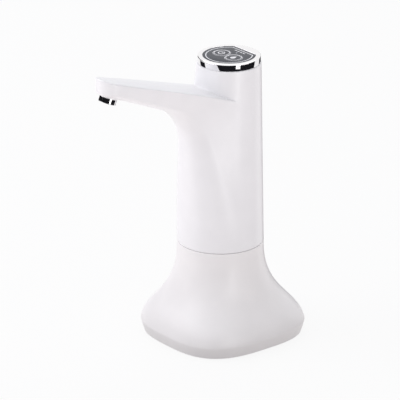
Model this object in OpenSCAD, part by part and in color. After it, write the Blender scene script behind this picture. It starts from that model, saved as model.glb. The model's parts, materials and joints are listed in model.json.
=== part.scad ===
// Electric water jug pump standing on its table base.
// A tapered round body carries a spout that rises to its tip and a control panel on its head.
// Inside are a battery, a motor and a gear pump, and the whole pump lifts off a flared base.
// Lengths are millimetres. +Z is up, the spout points to -Y, and the origin lies in the plane
// that the base stands on, on the axis of the seat where pump and base meet.

/* [Body] */
// Outer diameter of the pump where it meets the base
seam_d = 72; // [70:1:78]
// Height of the pump body from its lower edge to the rim of the head
body_h = 153.1; // [148:0.1:165]
// Outer diameter of the head at its rim
head_d = 53.2; // [52:0.2:58]
// How far the back edge leans forward over the height of the body
back_lean = 0.6; // [0:0.1:1.5]
// How far the front edge leans out below the throat of the spout
keel_out = 2; // [0:0.1:4]
// Wall of the pump shell
wall = 2.4; // [2:0.1:2.8]

/* [Spout] */
// Distance from the seat axis to the centre of the spout's round tip
spout_reach = 112.7; // [108:0.1:120]
// Radius of the spout's tip, seen from above
tip_r = 12.5; // [12:0.1:14]
// Height of the spout's top over the rim of the head, at the tip's centre
tip_over_rim = 10.8; // [8:0.1:13]
// Depth of the spout from top to underside, at the tip's centre
tip_depth = 14.9; // [14.5:0.1:17]
// Rise of the spout's top line in degrees
top_angle = 16.7; // [15:0.1:18]
// Rise of the spout's underside in degrees
under_angle = 23; // [22:0.1:24]
// Radius of the hollow curve between the spout's underside and the body
throat_r = 46; // [40:1:50]
// Radius of the crown across the spout's top
crown_r = 130; // [100:5:200]

/* [Outlet] */
// Outer diameter of the outlet nozzle
nozzle_d = 14.6; // [14:0.1:15]
// Length of the nozzle that shows under the spout
nozzle_l = 4.7; // [3:0.1:7]
// Distance of the nozzle from the tip's centre, towards the tip
nozzle_forward = 2.6; // [1.5:0.1:3]

/* [Base] */
// Height of the base from the table to the seam
base_h = 82.5; // [80:0.5:90]
// Width of the base across X
base_w = 119.4; // [114:0.1:130]
// Length of the base along Y
base_l = 124.9; // [118:0.1:135]
// How far the base's centre lies behind the seat axis
base_back = 2.8; // [0:0.1:4]
// Squareness of the base's outline: 2 is an ellipse
base_square = 3; // [2.6:0.1:3.6]
// Wall of the base shell
base_wall = 3; // [2.6:0.1:3.6]
// Height of the upright rim at the foot of the base
rim_h = 8; // [7:0.5:10]
// Thickness of the base plate
plate_t = 2.8; // [2.4:0.1:3.4]
// Thickness of the anti-slip pad
pad_t = 1.6; // [1.4:0.1:2]
// Width of the hose slot at the back of the base
hose_slot_w = 14; // [12:1:18]
// Height of the hose slot
hose_slot_h = 14; // [12:1:16]

/* [Seat] */
// Diameter of the jug neck that the pump fits, and of the base's own neck
neck_d = 55; // [54:0.5:57]
// Height of the base's neck above the seam
neck_h = 16.5; // [14:0.5:17.5]
// Wall of the neck
neck_wall = 3; // [2.5:0.1:3.5]
// Depth of the socket in the pump, from its lower edge to the bottom cap
socket_h = 18; // [18:0.5:20]
// Thickness of the bottom cap
cap_t = 3; // [2.6:0.1:3.6]
// Outer diameter of the hose spigot
hose_d = 8; // [7:0.1:9]
// Length of the hose spigot below its flange
hose_l = 20; // [15:0.5:24]

/* [Gear pump] */
// Teeth on each of the two pump gears
gear_teeth = 10; // [10:1:12]
// Module of the gear teeth
gear_module = 1; // [0.9:0.05:1.1]
// Width of the gears
gear_w = 6; // [5:0.1:8]
// Thickness of the pump housing above the gear chamber
housing_top = 5; // [4.5:0.1:6]
// Thickness of the pump cover
cover_t = 3; // [2.6:0.1:4]
// Diameter of the motor's shaft and of the driven gear's pin
shaft_d = 2; // [1.8:0.1:2.3]
// Outer diameter of the inner water tubes
tube_d = 8.4; // [8:0.1:8.6]
// Outer diameter of the spigots that the inner tubes sit on
spigot_d = 5.2; // [4.8:0.1:5.4]

/* [Motor and battery] */
// Diameter of the motor can
motor_d = 24; // [22:0.1:24.4]
// Length of the motor can
motor_l = 30.8; // [26:0.1:33]
// Diameter of the battery cell
cell_d = 18.4; // [18:0.1:18.8]
// Length of the battery cell
cell_l = 65.2; // [60:0.1:67]
// Sheet thickness of the inner frame
frame_t = 2; // [1.6:0.1:2.4]

/* [Head] */
// Outer diameter of the chrome ring
ring_d = 51.8; // [50:0.1:52.4]
// Height of the chrome ring above the rim of the head
ring_h = 6; // [5:0.1:8]
// Diameter of the control panel
panel_d = 43.4; // [42.6:0.1:44]
// Distance from the panel's centre to its straight back edge
panel_chord = 17; // [16:0.1:19]
// Thickness of the control panel
panel_t = 1.8; // [1.4:0.1:2.2]
// Diameter of the two keys
key_d = 13.8; // [12:0.1:14]
// Distance between the centres of the two keys
key_pitch = 15.2; // [15:0.1:16]
// How far the keys lie in front of the panel's centre
key_forward = 1.5; // [0:0.1:2.5]
// Travel of a key when it is pressed
key_travel = 0.5; // [0.3:0.05:0.6]

/* [Hidden] */

$fn = 64;
// Clearances: running fits, parts that are only put together, and parts that come apart
run_gap = 0.05;
fit_gap = 0.15;
free_gap = 0.3;
// Reach of a cut past the face that it opens
cut = 1;
// Facets of the rings that the pump shell and the base shell are drawn over
ring_facets = 48;
// Extra radius of the head's front over the back of the body
head_skin = 0.05;

// Screw sizes shared by all the self-tapping screws
screw_r = 1.3;
screw_hole_r = screw_r + fit_gap;
screw_head_r = 2.3;
screw_head_h = 1.6;
screw_slot_w = 0.6;
screw_slot_depth = 0.8;
// Length of a screw's thread in its boss
screw_bite = 8;
boss_r = 3.2;
boss_rib = 2;
// How far a boss runs into the wall beside it
boss_overlap = 0.6;

// Heights of the pump body
seam_r = seam_d / 2;
head_r = head_d / 2;
seam_gap = 0.4;
body_z = base_h + seam_gap;
rim_z = body_z + body_h;
head_y = seam_r - head_r - back_lean;

// Spout: top line, underside and the throat that joins the underside to the body's front edge
tip_z = rim_z + tip_over_rim;
under_z = tip_z - tip_depth;
keel_y = seam_r + keel_out;
throat_turn = 90 - under_angle;
throat_corner_z = under_z - (spout_reach - keel_y) * tan(under_angle);
throat_z = throat_corner_z - throat_r * tan(throat_turn / 2);
throat_y = keel_y + throat_r;
tip_y = spout_reach + tip_r;
spout_top_z = tip_z + (tip_r + cut) * tan(top_angle) + cut;

// Back circle of the body at a height
function rise(z) = (z - body_z) / body_h;
function back_r(z) = seam_r + (head_r - seam_r) * rise(z);
function back_y(z) = head_y * rise(z);

// Radius of the round front of the body at a height: it narrows from the seam to the spout's tip
function nose_r(z) = tip_r + (seam_r - tip_r) * pow(cos(90 * (z - body_z) / (tip_z - body_z)), 2);

// Top of the throat's arc, with the surface set in from the outside
function throat_top(inset) = throat_z + (throat_r + inset) * sin(throat_turn);

// Distance of the front edge from the seat axis at a height, with the surface set in
function keel_front(z, inset) =
    seam_r + keel_out * (z - body_z) / (throat_z - body_z) - inset;
function throat_front(z, inset) =
    throat_y - sqrt(max(0, pow(throat_r + inset, 2) - pow(z - throat_z, 2)));
function under_front(z, inset) =
    spout_reach + (z - inset / cos(under_angle) - under_z) / tan(under_angle);
function front(z, inset) =
    z < throat_z ? keel_front(z, inset)
    : z < throat_top(inset) ? throat_front(z, inset)
    : min(tip_y - inset, under_front(z, inset));

// Height at which the underside meets the tip's front face
function tip_foot_z(inset) =
    under_z + (tip_r - inset) * tan(under_angle) + inset / cos(under_angle);

// Levels that the body is drawn over, from a lower to an upper end
keel_steps = 6;
throat_steps = 9;
under_steps = 4;
function body_levels(low, inset) = concat(
    [for (i = [0:keel_steps - 1]) low + (throat_z - low) * i / keel_steps],
    [for (i = [0:throat_steps - 1]) throat_z + (throat_r + inset) * sin(throat_turn * i / throat_steps)],
    [for (i = [0:under_steps])
        throat_top(inset) + (tip_foot_z(inset) - throat_top(inset)) * i / under_steps],
    [spout_top_z]
);

function ring(r, y, z) = [
    for (i = [0:ring_facets - 1])
        [r * cos(360 * i / ring_facets), y + r * sin(360 * i / ring_facets), z]
];
function body_level(z, inset) = concat(
    ring(back_r(z) - inset, back_y(z), z),
    ring(nose_r(z) - inset, nose_r(z) - inset - front(z, inset), z)
);

// Smallest convex body around a list of points
module wrap(points) {
    hull() polyhedron(points = points, faces = [[for (i = [0:len(points) - 1]) i]]);
}

// Everything below the crowned top of the spout
module below_crown(inset) {
    translate([0, -spout_reach, tip_z]) rotate([-top_angle, 0, 0]) translate([0, 0, -crown_r])
        rotate([90, 0, 0]) cylinder(r = crown_r - inset, h = 4 * spout_reach, center = true, $fn = 120);
}

// The head above the spout, a hair wider than the back of the body so that the two never share a face
module head_form(inset, over) {
    low = throat_corner_z - head_r;
    high = rim_z + over;
    wrap(concat(
        ring(back_r(low) - inset + head_skin, back_y(low), low),
        ring(back_r(high) - inset + head_skin, back_y(high), high)
    ));
}

// The pump's outer form, or with an inset the hollow inside it, open at both ends
module body_form(inset = 0, over = 0) {
    levels = body_levels(body_z - over, inset);
    intersection() {
        union() for (i = [0:len(levels) - 2])
            wrap(concat(body_level(levels[i], inset), body_level(levels[i + 1], inset)));
        union() {
            below_crown(inset);
            head_form(inset, over);
        }
    }
}

// Outlet: the nozzle stands square to the underside
nozzle_r = nozzle_d / 2;
nozzle_y = spout_reach + nozzle_forward;
nozzle_seat_drop = 0.2;
nozzle_z = under_z + nozzle_forward * tan(under_angle) - nozzle_seat_drop;
nozzle_neck_r = 5;
nozzle_chamber_h = 10.5;
nozzle_bore_r = 4;
nozzle_nut_h = 1.6;
nozzle_nut_inset = 0.2;
nozzle_nut_r = nozzle_r - nozzle_nut_inset;
nozzle_seat_pad = 0.4;
nozzle_seat_h = wall + nozzle_seat_pad;
nozzle_tail_slope = 20;
nozzle_tail_l = 14;
module on_nozzle() {
    translate([0, -nozzle_y, nozzle_z]) rotate([-under_angle, 0, 0]) children();
}

// Water spigots and tubes
spigot_r = spigot_d / 2;
spigot_wall = 0.8;
spigot_bore_r = spigot_r - spigot_wall;
spigot_l = 5;
spigot_apart = 1;
nozzle_tail_h = nozzle_seat_h + nozzle_nut_h + spigot_r + fit_gap;
tube_r = tube_d / 2;
tube_sides = 10;
tube_bore_r = (spigot_r + run_gap) / cos(180 / tube_sides);

// Seat: the base's neck, the seal around it and the cap above it
neck_r = neck_d / 2;
neck_bore_r = neck_r - neck_wall;
flange_t = 1.9;
flange_inset = 0.5;
flange_r = seam_r - base_wall - flange_inset;
neck_top_z = base_h + neck_h;
cap_z = body_z + socket_h;
cap_top_z = cap_z + cap_t;
cap_r = back_r(cap_top_z) - wall - fit_gap;
cap_y = back_y(cap_top_z);
seal_r = cap_r - cap_y - free_gap;
seal_bore_r = neck_r + free_gap;
seal_lift = 2;
seal_h = socket_h - flange_t - seal_lift;
seal_lip = 1.2;
// Lower ends and height of the two grooves between the seal's lips, as shares of its height
seal_groove_at = [0.2, 0.6];
seal_groove_h = 0.25;

// Screws of the bottom cap, in bosses along the shell's wall
cap_screw_l = 10;
cap_screw_sink = screw_head_h + fit_gap;
cap_boss_h = 12;
cap_screw_angle = 40;
cap_screw_ring_r = cap_r - boss_r + boss_overlap;
cap_screw_at = [
    for (x = [-1, 1], y = [-1, 1])
        cap_screw_ring_r * [x * cos(cap_screw_angle), y * sin(cap_screw_angle)] + [0, cap_y]
];

// Hose fitting through the cap, on the seat axis
hose_r = hose_d / 2;
hose_wall = 1.4;
hose_bore_r = hose_r - hose_wall;
fitting_flange_t = 2;
fitting_thread_r = 4.5;
nut_r = 7.5;
nut_t = 3;
fitting_top_z = cap_top_z + nut_t + spigot_l;

// Gear pump: two gears side by side in front of the seat axis
gear_pitch_r = gear_module * gear_teeth / 2;
gear_tip_r = gear_pitch_r + gear_module;
gear_dedendum = 1.2;
gear_root_r = gear_pitch_r - gear_dedendum * gear_module;
gear_y = -6.5;
gear_backlash = 3;
gear_gap = 0.1;
shaft_r = shaft_d / 2;
cover_z = fitting_top_z + spigot_apart + spigot_l;
housing_z = cover_z + cover_t;
chamber_h = gear_w + 2 * gear_gap;
chamber_r = gear_tip_r + gear_gap;
housing_h = chamber_h + housing_top;
housing_top_z = housing_z + housing_h;
housing_corner_r = 4;
// Pump screws stand outside the motor can, and the housing reaches around them
pump_screw_x = 16;
pump_screw_y = 10.5;
pump_screw_at = [
    for (x = [-1, 1], y = [-1, 1]) [x * pump_screw_x, gear_y + y * pump_screw_y]
];
post_r = 3;
pump_screw_l = housing_h + cover_t + screw_bite;
// Seats of the driven gear's pin in the cover and in the housing
pin_seat_low = 1.5;
pin_seat_high = 3;
// Delivery spigot beside the motor, clear of it and of the screw next to it
delivery_x = 8.5;
delivery_y = -16.5;
delivery_z = housing_z + chamber_h / 2;
channel_r = 1.4;

// Motor on top of the pump housing, over the drive gear
motor_r = motor_d / 2;
motor_top_z = housing_top_z + motor_l;
motor_cap_t = 3;
motor_cap_inset = 1;
motor_boss_r = 3.1;
motor_boss_h = 1.6;
shaft_stub = 1;
shaft_top_z = motor_top_z + motor_cap_t + shaft_stub;
seal_ring_r = 2.6;
seal_ring_h = 1.4;
terminal_x = 3;
terminal_w = 1.6;
terminal_t = 0.5;
terminal_h = 3;
terminal_top_z = motor_top_z + motor_cap_t + terminal_h;

// Inner frame behind the motor, with the battery in its channel
cell_r = cell_d / 2;
cell_button_r = 3;
cell_button_h = 1;
frame_y = 8.5;
cell_y = frame_y + frame_t + free_gap + cell_r;
foot_t = 2.5;
cell_z = cap_top_z + foot_t + fit_gap;
shelf_z = cell_z + cell_l + fit_gap;
shelf_top_z = shelf_z + frame_t;
frame_half_w = cell_r + free_gap + frame_t;
frame_back_y = cell_y + cell_r;
// Ears at the frame's foot take its two screws
ear_margin = 0.8;
ear_w = 2 * (screw_head_r + ear_margin);
frame_screw_x = frame_half_w + ear_w / 2;
frame_screw_y = frame_y + ear_w / 2;
frame_screw_short = 0.6;
frame_screw_l = foot_t + cap_t - frame_screw_short;

// Charging board on the frame's shelf, with its port at the back of the shell
board_t = 1.6;
port_w = 9;
port_h = 3.2;
port_l = 7.4;
port_wall = 0.4;
port_mid_z = shelf_top_z + board_t + port_h / 2;
// How far the port reaches into the shell's wall, and stands out from its board
port_reach = 0.4;
port_overhang = 3.2;
port_back_y = back_y(port_mid_z) + back_r(port_mid_z) - wall + port_reach;
board_back_y = port_back_y - port_overhang;

// Head: chrome ring, panel and keys
ring_r = ring_d / 2;
ring_top_z = rim_z + ring_h;
ring_skirt_r = back_r(rim_z) - wall - fit_gap;
ring_skirt_h = 6;
ring_skirt_t = 1.6;
ring_bevel = 0.8;
panel_r = panel_d / 2;
panel_sink = 0.3;
panel_top_z = ring_top_z - panel_sink;
panel_z = panel_top_z - panel_t;
ledge_w = 1.5;
ledge_t = 1.4;
ledge_z = panel_z - ledge_t;
key_r = key_d / 2;
key_flange = 0.5;
key_flange_t = 0.8;
key_y = head_y - key_forward;
key_post_r = 2;
key_proud = 0.2;
key_flange_gap = 0.2;
key_flange_z = panel_z - key_flange_t - key_flange_gap;
key_board_r = ring_skirt_r - ring_skirt_t - free_gap;
key_board_drop = 3;
key_board_z = rim_z - key_board_drop;
key_board_top_z = key_board_z + board_t;
switch_w = 6;
switch_h = 1.6;
key_foot_z = key_board_top_z + switch_h + key_travel + free_gap;
board_post_r = 1.9;
board_screw_r = 1;
board_screw_head_r = 1.7;
board_screw_head_h = 1.2;
board_screw_l = 3.6;
// One post at each side and one at the front, clear of the panel's straight edge
board_post_at = [
    for (way = [[1, 0], [-1, 0], [0, -1]]) (key_board_r - board_post_r) * way + [0, head_y]
];
light_r = 0.9;
light_back = 8;
light_y = head_y + light_back;
light_chip_w = 3.2;
light_chip_h = 1;

// Base outline and the curve of its flare
base_foot_z = 1;
base_edge = 3.2;
flare_drop = 2.5;
flare_top_z = base_h - flare_drop;
flare_upper = 32;
flare_lower = 30;
flare_steps = 11;
web_t = 2.6;
base_plate_z = pad_t;
base_plate_top_z = base_plate_z + plate_t;
pad_inset = 6;
base_screw_l = plate_t + screw_bite;
base_screw_inset = 20;
base_boss_h = 45;
base_screw_at = [
    for (x = [-1, 1], y = [-1, 1])
        [x * (base_w / 2 - base_screw_inset), base_back + y * (base_l / 2 - base_screw_inset)]
];
collar_screw_angle = 45;
collar_screw_ring_r = (neck_r + flange_r) / 2;
collar_screw_at = [
    for (x = [-1, 1], y = [-1, 1])
        collar_screw_ring_r * [x * cos(collar_screw_angle), y * sin(collar_screw_angle)]
];
collar_screw_head_h = 1;
collar_screw_l = flange_t + screw_bite;
collar_boss_h = collar_screw_l + boss_overlap;

// One point of the base's outline: it turns from a circle into a rounded square
function signed_pow(v, p) = sign(v) * pow(abs(v), p);
function base_point(angle, spread, inset) = [
    (1 - spread) * (seam_r - inset) * cos(angle)
        + spread * (base_w / 2 - inset) * signed_pow(cos(angle), 2 / base_square),
    (1 - spread) * (seam_r - inset) * sin(angle)
        + spread * (base_back + (base_l / 2 - inset) * signed_pow(sin(angle), 2 / base_square))
];
function base_outline(spread, inset) = [
    for (i = [0:ring_facets - 1]) base_point(360 * i / ring_facets, spread, inset)
];
function base_level(level, inset) = [
    for (p = base_outline(level[1], inset + level[2])) [p[0], p[1], level[0]]
];

// Height and spread along the flare, from the neck at 0 to the rim at 1
function flare_z(t) =
    pow(1 - t, 3) * flare_top_z + 3 * pow(1 - t, 2) * t * flare_upper
    + 3 * (1 - t) * pow(t, 2) * flare_lower + pow(t, 3) * rim_h;
function flare_spread(t) = 3 * pow(t, 2) - 2 * pow(t, 3);

// Levels of the base from top to bottom: height, spread and extra inset
function base_levels(top) = concat(
    [[top, 0, 0]],
    [for (i = [0:flare_steps]) [flare_z(i / flare_steps), flare_spread(i / flare_steps), 0]]
);

module base_form(levels, inset = 0) {
    for (i = [0:len(levels) - 2])
        wrap(concat(base_level(levels[i], inset), base_level(levels[i + 1], inset)));
}

// A self-tapping screw, head up, with the underside of its head at the origin
module screw(length, shank_r = screw_r, head_r = screw_head_r, head_h = screw_head_h) {
    translate([0, 0, -length]) cylinder(r = shank_r, h = length);
    difference() {
        cylinder(r = head_r, h = head_h);
        translate([0, 0, head_h - screw_slot_depth]) for (turn = [0, 90]) rotate(turn)
            translate([-head_r / 2, -screw_slot_w / 2, 0]) cube([head_r, screw_slot_w, cut]);
    }
}

// A solid lead or a hollow tube along a list of points, with a fixed direction to set its rings out from
tube_roll = [0, 1, 0.2];
function unit(v) = v / norm(v);
function along(path, i) =
    i == 0 ? unit(path[1] - path[0])
    : i == len(path) - 1 ? unit(path[i] - path[i - 1])
    : unit(unit(path[i + 1] - path[i]) + unit(path[i] - path[i - 1]));
function tube_ring(path, i, r, sides) =
    let (way = along(path, i), side = unit(cross(tube_roll, way)), over = cross(way, side))
    [for (k = [0:sides - 1])
        path[i] + r * (side * cos(360 * (k + 0.5) / sides) + over * sin(360 * (k + 0.5) / sides))];
function tube_points(path, r, sides) = [for (i = [0:len(path) - 1]) each tube_ring(path, i, r, sides)];
function tube_sides_out(rings, sides, start) = [
    for (i = [0:rings - 2], k = [0:sides - 1])
        let (a = start + i * sides + k, b = start + i * sides + (k + 1) % sides)
        each [[a, a + sides, b], [b, a + sides, b + sides]]
];
function reversed(faces) = [for (f = faces) [f[2], f[1], f[0]]];
module lead(path, r, sides) {
    rings = len(path);
    last = (rings - 1) * sides;
    polyhedron(
        points = tube_points(path, r, sides),
        faces = concat(
            tube_sides_out(rings, sides, 0),
            [for (k = [1:sides - 2]) [0, k, k + 1]],
            [for (k = [1:sides - 2]) [last, last + k + 1, last + k]]
        )
    );
}
module tube(path, r, bore_r, sides) {
    rings = len(path);
    inner = rings * sides;
    last = (rings - 1) * sides;
    polyhedron(
        points = concat(tube_points(path, r, sides), tube_points(path, bore_r, sides)),
        faces = concat(
            tube_sides_out(rings, sides, 0),
            reversed(tube_sides_out(rings, sides, inner)),
            [for (k = [0:sides - 1])
                let (n = (k + 1) % sides) each [[k, n, inner + k], [n, inner + n, inner + k]]],
            [for (k = [0:sides - 1])
                let (n = (k + 1) % sides, o = last, p = inner + last)
                each [[o + k, p + k, o + n], [o + n, p + k, p + n]]]
        )
    );
}

// The outlet tube rises from the pump, bends over the throat at a distance from it that falls
// from foot to end, and runs out to the nozzle's tail
tube_rise = 8;
tube_off_foot = 12;
tube_off_end = 8.4;
tube_bend_steps = 6;
tube_stop = 7.8;
tube_lead_in = 10;
function tube_bend(share) =
    let (
        turn = throat_turn * share,
        r = throat_r + tube_off_foot + (tube_off_end - tube_off_foot) * share
    )
    [delivery_x * pow(1 - share, 2), r * cos(turn) - throat_y, throat_z + r * sin(turn)];
tube_way = [0, cos(nozzle_tail_slope), -sin(nozzle_tail_slope)];
tube_end = [0, -nozzle_y, nozzle_z]
    + nozzle_tail_h * [0, sin(under_angle), cos(under_angle)] + tube_stop * tube_way;
outlet_route = concat(
    [for (z = [fit_gap, tube_rise]) [delivery_x, delivery_y, housing_top_z + z]],
    [for (i = [0:tube_bend_steps]) tube_bend(i / tube_bend_steps)],
    [(tube_bend(1) + tube_end + tube_lead_in * tube_way) / 2, tube_end + tube_lead_in * tube_way, tube_end]
);

// Leads rise straight from the motor's terminals and from the charging board, and meet the key board
// straight too: foot and top in plan, then the height of the foot
lead_r = 0.7;
lead_sides = 8;
lead_straight = 10;
lead_ends = [
    [[-gear_pitch_r - terminal_x, gear_y], [-6, 2], terminal_top_z],
    [[-gear_pitch_r + terminal_x, gear_y], [-2, 2], terminal_top_z],
    [[2, 12], [2, 10], shelf_top_z + board_t],
    [[6, 12], [6, 10], shelf_top_z + board_t]
];
lead_routes = [
    for (ends = lead_ends) [
        [each ends[0], ends[2]], [each ends[0], ends[2] + lead_straight],
        [each ends[1], key_board_z - lead_straight], [each ends[1], key_board_z]
    ]
];

// Flat outline of the panel: a circle with a straight back edge
module panel_outline(grow = 0) {
    intersection() {
        circle(r = panel_r + grow);
        translate([-2 * panel_r, -2 * panel_r]) square([4 * panel_r, 2 * panel_r + panel_chord + grow]);
    }
}

// Involute tooth profile of one gear, standing with a tooth on +X
function involute(r, a) = [r * (cos(a) + a * PI / 180 * sin(a)), r * (sin(a) - a * PI / 180 * cos(a))];
function turned(p, a) = [p[0] * cos(a) - p[1] * sin(a), p[0] * sin(a) + p[1] * cos(a)];
pressure_angle = 20;
gear_base_r = gear_pitch_r * cos(pressure_angle);
flank_end = sqrt(pow(gear_tip_r / gear_base_r, 2) - 1) * 180 / PI;
flank_points = 5;
tooth_half = 90 / gear_teeth + (tan(pressure_angle) * 180 / PI - pressure_angle) - gear_backlash / 2;
function flank() = [
    for (i = [0:flank_points]) turned(involute(gear_base_r, flank_end * i / flank_points), -tooth_half)
];
function mirrored(points) = [for (i = [len(points) - 1:-1:0]) [points[i][0], -points[i][1]]];
module gear_outline() {
    half = flank();
    foot = turned([gear_root_r, 0], -tooth_half);
    tooth = concat([foot], half, mirrored(half), [[foot[0], -foot[1]]]);
    polygon([for (i = [0:gear_teeth - 1]) each [for (p = tooth) turned(p, 360 * i / gear_teeth)]]);
}
module gear(bore_r) {
    linear_extrude(gear_w) difference() {
        gear_outline();
        circle(r = bore_r);
    }
}

// Base: the flared shell, its plate, pad and neck collar

module base_shell() {
    rim = [
        [base_foot_z + base_edge, 1, 0],
        [base_foot_z, 1, base_edge / 2]
    ];
    outer = concat(base_levels(base_h), rim);
    inner = concat(base_levels(base_h - web_t), [[-cut, 1, 0]]);
    color("whitesmoke") difference() {
        union() {
            difference() {
                base_form(outer);
                base_form(inner, base_wall);
            }
            intersection() {
                base_form(outer);
                union() {
                    for (at = base_screw_at) translate([at[0], at[1], base_plate_top_z])
                        cylinder(r = boss_r, h = base_boss_h, $fn = 24);
                    for (at = collar_screw_at) translate([at[0], at[1], base_h - collar_boss_h])
                        cylinder(r = boss_r, h = collar_boss_h, $fn = 24);
                }
            }
        }
        translate([0, 0, base_h - web_t - cut]) cylinder(r = neck_bore_r, h = web_t + 2 * cut);
        for (at = base_screw_at) translate([at[0], at[1], 0])
            cylinder(r = screw_hole_r, h = base_plate_z + base_screw_l + cut, $fn = 24);
        for (at = collar_screw_at) translate([at[0], at[1], base_h - collar_screw_l])
            cylinder(r = screw_hole_r, h = collar_screw_l + cut, $fn = 24);
        translate([0, base_back + base_l / 2, 0]) rotate([90, 0, 0])
            linear_extrude(4 * base_wall, center = true) {
                translate([0, hose_slot_h - hose_slot_w / 2]) circle(d = hose_slot_w, $fn = 32);
                translate([-hose_slot_w / 2, 0]) square([hose_slot_w, hose_slot_h - hose_slot_w / 2]);
            }
    }
}

module base_plate() {
    color("gainsboro") difference() {
        translate([0, 0, base_plate_z]) linear_extrude(plate_t)
            polygon(base_outline(1, base_wall + free_gap));
        for (at = base_screw_at) translate([at[0], at[1], base_plate_z - cut]) {
            cylinder(r = screw_hole_r, h = plate_t + 2 * cut);
            cylinder(r = screw_head_r + fit_gap, h = screw_head_h + cut);
        }
    }
}

module base_pad() {
    color("dimgray") linear_extrude(pad_t) polygon(base_outline(1, pad_inset));
}

module base_screws() {
    color("silver") for (at = base_screw_at)
        translate([at[0], at[1], base_plate_z + screw_head_h]) mirror([0, 0, 1])
            screw(base_screw_l - screw_head_h);
}

module seat_collar() {
    color("white") difference() {
        union() {
            translate([0, 0, base_h]) cylinder(r = flange_r, h = flange_t);
            translate([0, 0, base_h]) cylinder(r = neck_r, h = neck_h);
        }
        translate([0, 0, base_h - cut]) cylinder(r = neck_bore_r, h = neck_h + 2 * cut);
        for (at = collar_screw_at) translate([at[0], at[1], base_h - cut])
            cylinder(r = screw_hole_r, h = flange_t + 2 * cut);
    }
}

module collar_screws() {
    color("silver") for (at = collar_screw_at) translate([at[0], at[1], base_h + flange_t])
        screw(collar_screw_l - flange_t, head_h = collar_screw_head_h);
}

// Pump body: shell, socket seal, bottom cap and hose fitting

module body_shell() {
    color("white") difference() {
        union() {
            difference() {
                body_form();
                body_form(wall, cut);
            }
            intersection() {
                body_form();
                for (at = cap_screw_at) translate([at[0], at[1], cap_top_z]) {
                    cylinder(r = boss_r, h = cap_boss_h, $fn = 24);
                    rotate(atan2(at[1] - cap_y, at[0])) translate([0, -boss_rib / 2, 0])
                        cube([2 * boss_r, boss_rib, cap_boss_h]);
                }
            }
            on_nozzle() cylinder(r = nozzle_r + fit_gap, h = nozzle_seat_h, $fn = 32);
        }
        for (at = cap_screw_at) translate([at[0], at[1], cap_top_z - cut])
            cylinder(r = screw_hole_r, h = cap_screw_l + cut, $fn = 24);
        on_nozzle() {
            translate([0, 0, -cut])
                cylinder(r = nozzle_neck_r + fit_gap, h = nozzle_seat_h + 2 * cut, $fn = 32);
            translate([0, 0, nozzle_seat_h])
                cylinder(r = nozzle_nut_r + fit_gap, h = nozzle_nut_h + cut, $fn = 32);
        }
        translate([-port_w / 2 - free_gap, back_y(port_mid_z), port_mid_z - port_h / 2 - free_gap])
            cube([port_w + 2 * free_gap, seam_d, port_h + 2 * free_gap]);
    }
}

module neck_seal() {
    color("lightgray") translate([0, 0, cap_z - seal_h]) difference() {
        cylinder(r = seal_r, h = seal_h);
        translate([0, 0, -cut]) cylinder(r = seal_bore_r, h = seal_h + 2 * cut);
        for (at = seal_groove_at) translate([0, 0, at * seal_h])
            cylinder(r = seal_bore_r + seal_lip, h = seal_groove_h * seal_h);
    }
}

module bottom_cap() {
    color("white") difference() {
        union() {
            translate([0, cap_y, cap_z]) cylinder(r = cap_r, h = cap_t);
            for (at = pump_screw_at) translate([at[0], at[1], cap_z])
                cylinder(r = post_r, h = cover_z - cap_z);
        }
        translate([0, 0, cap_z - cut]) cylinder(r = fitting_thread_r + fit_gap, h = cap_t + 2 * cut);
        for (at = cap_screw_at) translate([at[0], at[1], cap_z - cut]) {
            cylinder(r = screw_hole_r, h = cap_t + 2 * cut);
            cylinder(r = screw_head_r + fit_gap, h = cap_screw_sink + cut);
        }
        for (at = pump_screw_at) translate([at[0], at[1], housing_top_z - pump_screw_l - cut])
            cylinder(r = screw_hole_r, h = pump_screw_l + cut);
        for (x = [-1, 1]) translate([x * frame_screw_x, frame_screw_y, cap_z - cut])
            cylinder(r = screw_hole_r, h = cap_t + 2 * cut);
    }
}

module cap_screws() {
    color("silver") for (at = cap_screw_at)
        translate([at[0], at[1], cap_z + cap_screw_sink]) mirror([0, 0, 1])
            screw(cap_screw_l + cap_t - cap_screw_sink - cut);
}

module inlet_fitting() {
    low = cap_z - fitting_flange_t - hose_l;
    color("whitesmoke") difference() {
        union() {
            translate([0, 0, low]) cylinder(r = hose_r, h = hose_l);
            translate([0, 0, cap_z - fitting_flange_t]) cylinder(r = nut_r, h = fitting_flange_t);
            translate([0, 0, cap_z]) cylinder(r = fitting_thread_r, h = cap_t + nut_t);
            translate([0, 0, cap_top_z]) cylinder(r = spigot_r, h = fitting_top_z - cap_top_z);
        }
        translate([0, 0, low - cut]) cylinder(r = hose_bore_r, h = hose_l + fitting_flange_t + cut);
        translate([0, 0, low]) cylinder(r = spigot_bore_r, h = fitting_top_z - low + cut);
    }
}

module fitting_nut() {
    color("silver") translate([0, 0, cap_top_z]) difference() {
        cylinder(r = nut_r, h = nut_t, $fn = 6);
        translate([0, 0, -cut]) cylinder(r = fitting_thread_r + run_gap, h = nut_t + 2 * cut);
    }
}

// Gear pump

module inlet_tube() {
    low = cap_top_z + nut_t + fit_gap;
    color("lightsteelblue") translate([0, 0, low]) difference() {
        cylinder(r = tube_r, h = cover_z - fit_gap - low);
        translate([0, 0, -cut]) cylinder(r = spigot_r + run_gap, h = cover_z - low + cut);
    }
}

module pump_block(z, h) {
    translate([0, gear_y, z]) linear_extrude(h) {
        for (x = [-1, 1], y = [-1, 1]) translate([x * pump_screw_x, y * pump_screw_y])
            circle(r = housing_corner_r);
        square([2 * (pump_screw_x + housing_corner_r), 2 * pump_screw_y], center = true);
        square([2 * pump_screw_x, 2 * (pump_screw_y + housing_corner_r)], center = true);
    }
}

module pump_screw_holes(z, h) {
    for (at = pump_screw_at) translate([at[0], at[1], z]) cylinder(r = screw_hole_r, h = h);
}

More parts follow.
